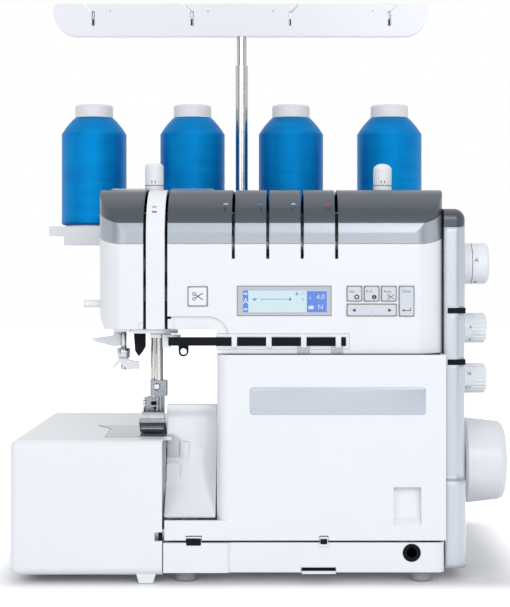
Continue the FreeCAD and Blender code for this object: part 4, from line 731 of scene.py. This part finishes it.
def addScissors(bm, x, z, size, y0, y1):
    # Two handle rings and two blades, in shares of the size
    for sign in (-1, 1):
        addRing(bm, x - 1.9 * size, z + sign * 1.25 * size, 0.95 * size, 0.55 * size, y0, y1, 20)
        addStroke(bm, (x - 1.2 * size, z + sign * 0.8 * size), (x + 2.6 * size, z - sign * 1.7 * size),
                  0.5 * size, y0, y1)


def makeDisplay(p):
    for name, finish, box in p["screens"]:
        makeBoxes(name, (finish, "machine", "window_plastic"), [box], p["screenCorner"])
    y0, y1 = p["lcdInkY"]
    for name in ("lcdSigns", "lcdLines"):
        drawn = p[name]
        shapes = [(addText, words, size, onFront(x, y0, z)) for words, size, x, z in drawn["words"]]
        shapes += [(addStroke, (x0, z), (x1, z), wide, y0, y1) for x0, x1, z, wide in drawn["strokes"]]
        shapes += [(addBox, (x0, y0, z0), (x1, y1, z1), corner) for x0, x1, z0, z1, corner in drawn["boxes"]]
        shapes += [(addPlate, outline, y0, y1) for outline in drawn["outlines"]]
        makePiece(name, (drawn["finish"], "machine", "window_plastic"), shapes)


def makeKeyCaps(p):
    # Rounded cap with a thin brown rim on each key
    for body, finish, x0, x1, z0, z1 in p["caps"]:
        for name, paint in (("rim", "rimBrown"), ("cap", finish)):
            grow, y0, y1, corner = p[name + "Layer"]
            box = (x0 - grow, x1 + grow, y0, y1, z0 - grow, z1 + grow)
            makeBoxes(name + camel(body), (paint, body, "key_plastic"), [box], corner)


def makeKeyPrints(p):
    y0, y1 = p["inkY"]

    def sign(name, finish, body, shapes):
        makePiece(name, (finish, body, "key_plastic"), shapes)

    for body, words, x, z, size in p["words"]:
        sign("print" + camel(body), "inkGrey", body, [(addText, words, size, onFront(x, y0, z))])
    x, z, size = p["gear"]
    roots, tips = (circle(size * p[key], 1.0, p["teeth"], x, z) for key in ("toothFrom", "toothTo"))
    sign("signGear", "inkBlack", "key_set", [(addRing, x, z, size, p["gearHole"] * size, y0, y1)] + [
        (addStroke, root, tip, p["toothWide"], y0, y1) for root, tip in zip(roots, tips)])
    x, z, size = p["info"]
    sign("signInfoDisc", "inkBlack", "key_info", [(addDisc, x, z, size, y0, y1)])
    low, high, wide = p["infoStem"]
    up, radius, steps = p["infoDot"]
    front = y0 - p["infoLift"]
    sign("signInfoMark", "keyGrey", "key_info", [(addStroke, (x, z + low), (x, z + high), wide, front, y1),
                                                 (addDisc, x, z + up, radius, front, y1, steps)])
    for name, body, spot in p["scissors"]:
        sign(name, "inkGrey", body, [(addScissors, *spot, y0, y1)])
    z = p["arrowZ"]
    sign("signArrows", "inkBlack", "key_arrows", [
        (addPlate, [(x + size, z), (x - size, z + abs(size)), (x - size, z - abs(size))], y0, y1)
        for x, size in p["arrows"]])
    makeBoxes("arrowSplit", ("coverWhite", "key_arrows", "key_plastic"), [p["split"]])
    x, z = p["turn"]
    (left, right), (side, top), wide = p["turnRun"], p["turnRise"], p["turnWide"]
    sign("signTurn", "inkBlack", "key_enter", [
        (addStroke, (x + left, z), (x + right, z), wide, y0, y1),
        (addStroke, (x + side, z), (x + side, z + top), wide, y0, y1),
        (addPlate, [(x + a, z + b) for a, b in p["turnTip"]], y0, y1)])


makeDisplay(panel)
makeKeyCaps(panel)
makeKeyPrints(panel)
print("display and key prints made")


# Bare name plate on the looper cover

plate = {
    "namePlate": {"look": ("plateSilver", "looper_door", "silver_plastic"), "corner": 2.2, "rim": 0.35,
                  "sharp": 50.0, "boxes": [(-28.0, 112.6, -0.7, 0.3, 136.2, 158.0)]},
    "plateLines": {"look": ("coverWhite", "looper_door", "silver_plastic"),
                   "boxes": [(-26.5, 111.1, -0.75, -0.6, 156.15, 156.5),
                             (-26.5, 111.1, -0.75, -0.6, 137.7, 138.05)]},
}
makeAll(plate)
print("name plate made")


# Prints and marks laid on curved covers

marks = {
    "tension": [("inkPale", 225.9), ("inkBlue", 260.2), ("inkSky", 293.4), ("inkRose", 327.6)],
    "colourV": 204.0, "iconV": 209.0, "bar": (2.6, 0.7), "wedge": [(-2.6, -0.8), (2.6, -0.8), (0.0, 1.6)],
    "needle": (0.35, 2.2), "needleGap": 1.2,
    "slant": [(-2.2, -1.8), (-1.4, -1.8), (2.0, 1.6), (1.2, 1.8)], "dot": (0.7, -1.6, 1.0),
    "strip": [("inkPale", 154.4, 206.8), ("inkBlue", 154.4, 211.9)],
    "stripOval": (2.0, 0.6), "stripBar": (1.9, 0.8), "scale": 1500.0, "axisU": 285.0, "axisV": 260.0,
}


def onNode(node, u, v):
    # Point of a node seen at a place of the view, and the way its surface faces, in the pieces' millimetres
    eye = Vector(photoView["eye"])
    toward = Vector((u - marks["axisU"], marks["scale"], marks["axisV"] - v)).normalized()
    found, spot, normal, face = nodes[node].ray_cast((eye + datum) * mm, toward)
    if not found:
        raise ValueError("%s is not seen at %s, %s" % (node, u, v))
    return spot / mm - datum, normal


def layFlat(spot, normal, lift=0.05):
    # Matrix that lays drawings of the XY plane on a surface, X to the right
    across = Vector((1.0, 0.0, 0.0)) - normal * normal.x
    across.normalize()
    up = normal.cross(across)
    turn = Matrix((across, up, normal)).transposed().to_4x4()
    return Matrix.Translation(spot + normal * lift) @ turn


def addPatch(bm, outline, matrix, thick=0.08):
    # Outline drawn in the XY plane, laid by a matrix and pushed back
    points = [matrix @ Vector((a, b, 0.0)) for a, b in outline]
    addPrism(bm, points, matrix.to_3x3() @ Vector((0.0, 0.0, -thick)))


def makeMarks(m):
    icons = []
    for i, (finish, u) in enumerate(m["tension"]):
        lay = layFlat(*onNode("top_cover", u, m["colourV"]))
        makePiece("tensionColour%d" % (i + 1), (finish, "machine", "dark_plastic"),
                  [(addPatch, oblong(*m["bar"]) if i % 2 else m["wedge"], lay)])
        lay = layFlat(*onNode("top_cover", u, m["iconV"]))
        if i < 2:
            side = m["needleGap"] if i else -m["needleGap"]
            drawn = [oblong(*m["needle"]), oblong(*m["needle"], side)]
        else:
            turn = 1.0 if i == 2 else -1.0
            radius, x, y = m["dot"]
            drawn = [[(a * turn, b) for a, b in m["slant"]], circle(radius, x=x * turn, y=y)]
        icons += [(addPatch, outline, lay) for outline in drawn]
    makePiece("tensionIcons", ("inkBlack", "machine", "dark_plastic"), icons)
    for i, (finish, u, v) in enumerate(m["strip"]):
        outline = oblong(*m["stripBar"]) if i else circle(*m["stripOval"])
        makePiece("stripMark%d" % (i + 1), (finish, "machine", "white_plastic"),
                  [(addPatch, outline, layFlat(*onNode("thread_strip", u, v)))])


makeMarks(marks)
print("cover marks laid")


# Dial and knob prints

dialPrint = {
    "dialY": 60.0, "wordLift": 0.04, "line": (-0.2, 0.06, 0.5), "lineSteps": 72,
    "dials": [
        {"name": "stitchPrints", "body": "dial_stitch", "z": 257.0, "radius": 17.0, "lineX": 155.4,
         "words": [("A", 158.8, 0.17, 5.2), ("B", 158.8, -1.15, 5.2), ("C", 158.8, -2.4, 5.2)]},
        {"name": "differentialPrints", "body": "dial_differential", "z": 203.0, "radius": 12.5,
         "words": [("4", 154.2, 0.09, 4.2), ("3", 154.2, -0.85, 4.2), ("2", 154.2, -1.7, 4.2)]},
        {"name": "lengthPrints", "body": "dial_length", "z": 161.0, "radius": 12.5,
         "words": [("N", 153.4, 0.36, 4.2), ("0.7", 152.6, -0.6, 3.9), ("1.5", 152.6, -1.5, 3.9)]},
    ],
    "knobs": [("pressureRing", "knob_pressure", -110.0), ("topRing", "knob_top", 82.0)],
    "knobY": 63.0, "printRadius": 7.83, "printThick": 0.16,
    "ringZ": 322.4, "dash": (0.8, 0.5), "dashes": 20,
    "pointerZ": 325.4, "pointer": (0.35, 1.2), "pointerTurns": (-0.18, 0.18),
}


def makeDialPrints(p):
    for dial in p["dials"]:
        shapes = []
        radius = dial["radius"]
        for words, x, angle, size in dial["words"]:
            turn = Matrix.Translation((x, p["dialY"], dial["z"])) @ Matrix.Rotation(-angle, 4, "X")
            shapes.append((addText, words, size, turn @ onFront(0.0, -radius - p["wordLift"], 0.0)))
        if "lineX" in dial:
            inner, outer, wide = p["line"]
            shapes.append((addLathe, hoop(radius + inner, radius + outer, wide),
                           (dial["lineX"], p["dialY"], dial["z"]), "X", p["lineSteps"]))
        makePiece(dial["name"], ("inkBlack", dial["body"], "white_plastic"), shapes)
    front = onFront(0.0, -p["printRadius"], 0.0)
    prints = [(p["ringZ"], p["dash"], math.tau * i / p["dashes"]) for i in range(p["dashes"])]
    prints += [(p["pointerZ"], p["pointer"], angle) for angle in p["pointerTurns"]]
    for name, body, x in p["knobs"]:
        shapes = []
        for z, size, turn in prints:
            lay = Matrix.Translation((x, p["knobY"], z)) @ Matrix.Rotation(turn, 4, "Z") @ front
            shapes.append((addPatch, oblong(*size), lay, p["printThick"]))
        makePiece(name, ("inkGrey", body, "white_plastic"), shapes)


makeDialPrints(dialPrint)
print("dial prints made")


# Black inlays, the front thread guide's dividers, and the base's slot with a black block at its back for the
# shade in it (painted shade)

trim = {
    "columnInlays": {"look": blackPart, "boxes": [
        (132.6, 147.2, 22.3, 23.0, 216.5, 220.9), (146.6, 147.2, 23.0, 41.6, 216.5, 220.9),
        (132.6, 147.2, 22.3, 23.0, 174.5, 178.9), (146.6, 147.2, 23.0, 41.6, 174.5, 178.9)]},
    # Black block at the back of the base's slot, for the shade inside it: painted shade
    "baseSlotShade": {"look": blackPart, "boxes": [(13.6, 40.4, 5.2, 6.0, 9.7, 12.9)]},
    "baseSlotLip": {"look": whitePart, "rim": 0.3, "boxes": [(13.2, 40.8, 1.6, 4.2, 8.3, 10.6)]},
    "doorClip": {"look": blackPart, "corner": 0.8, "boxes": [(-79.0, -67.2, -0.1, 0.3, 31.4, 37.2)]},
    "doorCatch": {"look": blackPart, "corner": 0.8, "boxes": [(28.3, 33.8, -0.1, 0.3, 32.6, 36.8)]},
    "guideFace": {"look": blackPart, "corner": 0.7, "rim": 0.3, "each": True, "boxes": [
        (x0, x1, 7.2, 11.05, 190.9, 197.7)
        for x0, x1 in ((-94.0, -43.0), (-38.6, -15.2), (-10.8, 12.9), (17.3, 40.8), (45.2, 49.0))]},
    "guideDivider": {"look": ("satinWhite", "machine", "white_plastic"), "corner": 0.8, "rim": 0.4,
                     "each": True, "boxes": [(x - 2.2, x + 2.2, 6.7, 11.05, 189.3, 198.3)
                                             for x in (-40.8, -13.0, 15.1, 43.0)]},
    "guideFrame": {"look": whitePart, "boxes": [
        (-55.8, 51.9, 8.4, 14.0, 188.15, 190.8), (-55.8, 51.9, 8.4, 14.0, 197.8, 200.45),
        (49.1, 51.9, 8.4, 14.0, 190.8, 197.8)]},
    "guideFeet": {"look": ("bezelGrey", "machine", "silver_plastic"), "boxes": [
        (9.7, 20.0, 7.5, 8.3, 185.0, 190.6), (37.0, 46.8, 7.5, 8.3, 185.0, 190.6)]},
}
makeAll(trim)
print("inlays and guide dressed")


# Clear plate on the top cover and steel eyes in the guide bar

eyes = (-183.6, -89.4, 4.8, 99.4)
topDress = {
    "clear": {"look": ("clearPlate", "machine", "window_plastic"), "corner": 1.0, "along": "Z"},
    "clearLeft": (-145.0, -114.4, 52.0, 96.0, 318.15, 319.5),
    "clearRight": (-94.6, -60.5, 52.0, 96.0, 318.15, 319.5),
    "barEyes": {"look": ("footSteel", "mast", "steel"), "boxes": [
        (x + side - 0.225, x + side + 0.225, 233.6, 246.2, 484.0, 498.2)
        for x in eyes for side in (-1.25, 1.25)]},
    # Black blocks between each eye's steel sides, for the shade inside the eye: painted shade
    "barEyeShades": {"look": ("blackMould", "mast", "black_plastic"), "boxes": [
        (x - 0.95, x + 0.95, 238.0, 242.0, 484.2, 491.0) for x in eyes]},
    "dots": (-167.0, -73.6, -11.5, 84.0), "dotZ": 498.0, "dotRadius": 0.8, "dotY": (233.8, 234.2),
    "dotSteps": 14,
}


def makeTopDress(t):
    for name in ("clearLeft", "clearRight"):
        makeBoxes(name, boxes=[t[name]], **t["clear"])
    for name in ("barEyes", "barEyeShades"):
        makeBoxes(name, **t[name])
    makePiece("barDots", ("inkPale", "mast", "white_plastic"),
              [(addDisc, x, t["dotZ"], t["dotRadius"], *t["dotY"], t["dotSteps"]) for x in t["dots"]])


makeTopDress(topDress)
print("top dressed")


# White guard over the chute and the blocks on it

chute = {
    "start": (6.0, 52.6), "middle": (33.2, 84.424), "end": (40.0, 141.0), "proud": 2.4, "thick": 1.7,
    "x": (-97.3, -56.0), "z": (53.6, 140.9), "steps": (40, 56),
    "lip": (129.5, 138.0, 3.6),
    "fold": [(53.0, -57.0, 0.0), (57.0, -57.6, 1.5), (65.0, -61.0, 5.5), (80.0, -66.0, 8.5), (96.0, -69.5, 9.0),
             (110.0, -67.0, 7.0), (141.0, -63.5, 5.5)],
    "foldEnd": 0.1, "foldPower": 1.4,
    "blocks": [("guardBlock", "keyGrey", -97.4, -86.9, 95.6, 114.0, 4.4, 2.0),
               ("guardBar", "coverWhite", -86.6, -79.0, 89.4, 110.4, 3.6, 1.2),
               ("guardFoot", "coverWhite", -96.9, -86.2, 72.4, 94.0, 4.0, 2.6)],
    "blockBack": 0.9, "blockRim": 0.7,
}


def arcCentre(a, b, c):
    d = 2 * (a[0] * (b[1] - c[1]) + b[0] * (c[1] - a[1]) + c[0] * (a[1] - b[1]))
    sq = [p[0] ** 2 + p[1] ** 2 for p in (a, b, c)]
    y = (sq[0] * (b[1] - c[1]) + sq[1] * (c[1] - a[1]) + sq[2] * (a[1] - b[1])) / d
    z = (sq[0] * (c[0] - b[0]) + sq[1] * (a[0] - c[0]) + sq[2] * (b[0] - a[0])) / d
    return y, z, math.hypot(a[0] - y, a[1] - z)


def clamp(t):
    return min(max(t, 0.0), 1.0)


def smooth(t):
    t = clamp(t)
    return t * t * (3 - 2 * t)


def spread(span, count):
    return [span[0] + (span[1] - span[0]) * i / count for i in range(count + 1)]


def makeGuard(c):
    y, z, radius = arcCentre(c["start"], c["middle"], c["end"])
    side = 1.0 if c["middle"][0] > y else -1.0

    def wall(height):
        return y + side * math.sqrt(radius ** 2 - (height - z) ** 2)

    def hollow(x, height):
        # Comes forward at its lip and along a fold on its right side
        low, high, reach = c["lip"]
        forward = c["proud"] + reach * smooth((height - low) / (high - low))
        below, above = next(pair for pair in zip(c["fold"], c["fold"][1:]) if height <= pair[1][0])
        part = (height - below[0]) / (above[0] - below[0])
        start, depth = (below[i] + (above[i] - below[i]) * part for i in (1, 2))
        rise = clamp((x - start) / (c["x"][1] + c["foldEnd"] - start))
        return wall(height) - forward - depth * rise ** c["foldPower"]

    across, up = c["steps"]
    xs, heights = spread(c["x"], across), spread(c["z"], up)
    bm = bmesh.new()
    front = [[bm.verts.new((x, hollow(x, h), h)) for x in xs] for h in heights]
    back = [[bm.verts.new((x, wall(h) + c["thick"], h)) for x in xs] for h in heights]
    for j in range(up):
        for i in range(across):
            for grid in (front, back):
                bm.faces.new((grid[j][i], grid[j][i + 1], grid[j + 1][i + 1], grid[j + 1][i]))
    rims = [[grid[0], grid[-1], [row[0] for row in grid], [row[-1] for row in grid]] for grid in (front, back)]
    for rim, skin in zip(*rims):
        for i in range(len(rim) - 1):
            bm.faces.new((rim[i], rim[i + 1], skin[i + 1], skin[i]))
    finishPiece("knifeGuard", bm, *whitePart)
    for name, finish, x0, x1, z0, z1, reach, corner in c["blocks"]:
        box = (x0, x1, wall((z0 + z1) / 2) - reach, wall(z0) + c["blockBack"], z0, z1)
        makeBoxes(name, (finish, "machine", "white_plastic"), [box], corner, c["blockRim"], sharp=50.0)


makeGuard(chute)
print("chute guard made")


# Needle threader lever, thread guides and plates under the head

needleSide = {
    "leverAxis": (-135.0, 55.0, 0.0), "leverY": (52.6, 57.4), "leverEase": 0.5,
    "finger": [(-161.6, 194.6), (-143.6, 197.0), (-142.6, 201.4), (-138.8, 201.4), (-136.6, 195.0),
               (-137.4, 188.6), (-142.6, 187.8), (-159.8, 192.2)],
    "hook": [(-137.9, 179.6), (-144.6, 169.8), (-143.4, 169.2), (-138.3, 174.8), (-131.9, 168.6),
             (-121.8, 169.2), (-122.2, 175.0), (-129.4, 176.4), (-134.3, 179.4)],
    # Neck, block and pin of the pivot as radius, foot, top, rounding and steps, then the screw in the block
    "pivot": [(2.6, 186.0, 202.6, 0.6, 36), (5.4, 178.2, 186.4, 0.6, 36), (2.2, 168.4, 178.4, 0.0, 24)],
    "pivotScrew": [(0.0, 0.0), (1.0, 0.0), (1.3, 0.3), (1.3, 4.0), (0.0, 4.0)],
    "pivotScrewAt": (-132.4, 49.4, 183.4), "pivotScrewSteps": 20,
    "beak": [(-125.8, 200.0), (-115.9, 200.0), (-115.9, 188.0), (-118.4, 183.6), (-121.6, 179.9),
             (-124.6, 184.4)],
    "beakY": (46.0, 50.6), "beakEase": 0.6,
}
underHead = {
    "underPlate": {"look": ("plateSteel", "machine", "steel"), "corner": 0.5, "rim": 0.3, "each": True,
                   "boxes": [
        (-142.0, -128.0, 38.6, 46.8, 200.6, 203.6), (-127.6, -88.6, 38.6, 46.8, 199.2, 203.7),
        (-111.4, -101.8, 38.6, 46.8, 195.6, 199.4), (-101.2, -94.8, 38.6, 46.8, 187.4, 199.0),
        (-95.0, -86.4, 38.6, 46.8, 196.0, 198.2)]},
    "slotFillers": {"look": whitePart, "boxes": [
        (-120.4, -114.4, 9.2, 12.0, 204.3, 210.4), (-94.6, -90.0, 9.2, 12.0, 204.6, 212.4)]},
    # Black blocks at the back of the thread strip's slots, standing for the shade in them: painted shade
    "slotShadeBlocks": {"look": blackPart, "boxes": [
        (-114.3, -112.1, 10.2, 12.0, 204.2, 222.0), (-96.9, -94.7, 10.2, 12.0, 204.2, 222.0)]},
    "tableCatch": {"look": blackPart, "corner": 0.5, "boxes": [(-101.6, -98.4, 3.0, 5.0, 34.4, 42.6)]},
}


def stud(radius, low, high, rim):
    # Profile of a round post for addLathe, eased by rim at both ends
    if not rim:
        return [(0.0, low), (radius, low), (radius, high), (0.0, high)]
    return [(0.0, low), (radius - rim, low), (radius, low + rim), (radius, high - rim), (radius - rim, high),
            (0.0, high)]


def makeLever(n):
    makePiece("threadLever", ("satinWhite", "threader", "white_plastic"),
              [(addPlate, n["finger"], *n["leverY"]), (addPlate, n["hook"], *n["leverY"]),
               (easeOutline, n["leverEase"])], replaced=("threader_lever",), sharp=50.0)
    shapes = [(addLathe, stud(*size), n["leverAxis"], "Z", steps) for *size, steps in n["pivot"]]
    shapes.append((addLathe, n["pivotScrew"], n["pivotScrewAt"], "Y", n["pivotScrewSteps"]))
    makePiece("leverPivot", ("footSteel", "threader", "white_plastic"), shapes, sharp=50.0)
    makePiece("blackBeak", blackPart, [(addPlate, n["beak"], *n["beakY"]), (easeOutline, n["beakEase"])],
              sharp=50.0)


makeLever(needleSide)
makeAll(underHead)
print("needle side dressed")


# Presser foot and needle clamp details

footDress = {
    "curve": [(46.2, 134.0), (45.6, 130.6), (44.0, 127.2), (41.6, 124.0), (38.4, 121.0)],
    "curveX": (-119.0, -100.4), "curveStep": (-0.8, -0.6),
    "footArm": {"look": ("barSteel", "presser", "steel"), "corner": 0.8, "rim": 0.3,
                "boxes": [(-119.6, -117.0, 60.0, 66.0, 131.0, 144.6)]},
    "armScrew": [(0.0, 0.0), (1.2, 0.0), (1.7, 0.5), (1.7, 1.6), (0.0, 1.6)],
    "armScrewAt": (-118.3, 58.5, 140.6), "armScrewSteps": 28,
    "window": ((-112.2, 56.75, 138.4), (-106.2, 57.5, 141.6), 0.6),
    "holes": [(-109.0, 136.0, 1.1), (-109.0, 132.8, 1.1)], "holeY": (56.75, 57.5), "holeSteps": 18,
    # Shares of the clamp screw's radius, and heights in millimetres
    "clampScrew": [(0.0, 0.0), (0.55, 0.12), (0.9, 0.5), (1.0, 1.0), (1.0, 1.4), (0.0, 1.4)],
    "clampRadius": 2.9, "clampScrewAt": (-106.6, 46.2, 154.6), "clampSteps": 36,
}


def makeFoot(f):
    back, down = f["curveStep"]
    outline = f["curve"] + [(y + back, z + down) for y, z in reversed(f["curve"])]
    makePiece("footCurve", ("footSteel", "presser", "steel"), [(addPlate, outline, *f["curveX"], "X")],
              sharp=60.0)
    makeBoxes("footArm", **f["footArm"])
    makePiece("footArmScrew", ("barSteel", "presser", "steel"),
              [(addLathe, f["armScrew"], f["armScrewAt"], "Y", f["armScrewSteps"])])
    # Black patches where the foot holder has a window and two holes, for the shade inside them: painted shade
    makePiece("footHoleShades", ("blackMould", "presser", "steel"),
              [(addBox, *f["window"])]
              + [(addDisc, x, z, radius, *f["holeY"], f["holeSteps"]) for x, z, radius in f["holes"]])
    profile = [(f["clampRadius"] * share, height) for share, height in f["clampScrew"]]
    makePiece("clampScrew", ("barSteel", "needle_carriage", "steel"),
              [(addLathe, profile, f["clampScrewAt"], "Y", f["clampSteps"])])


makeFoot(footDress)
print("foot dressed")
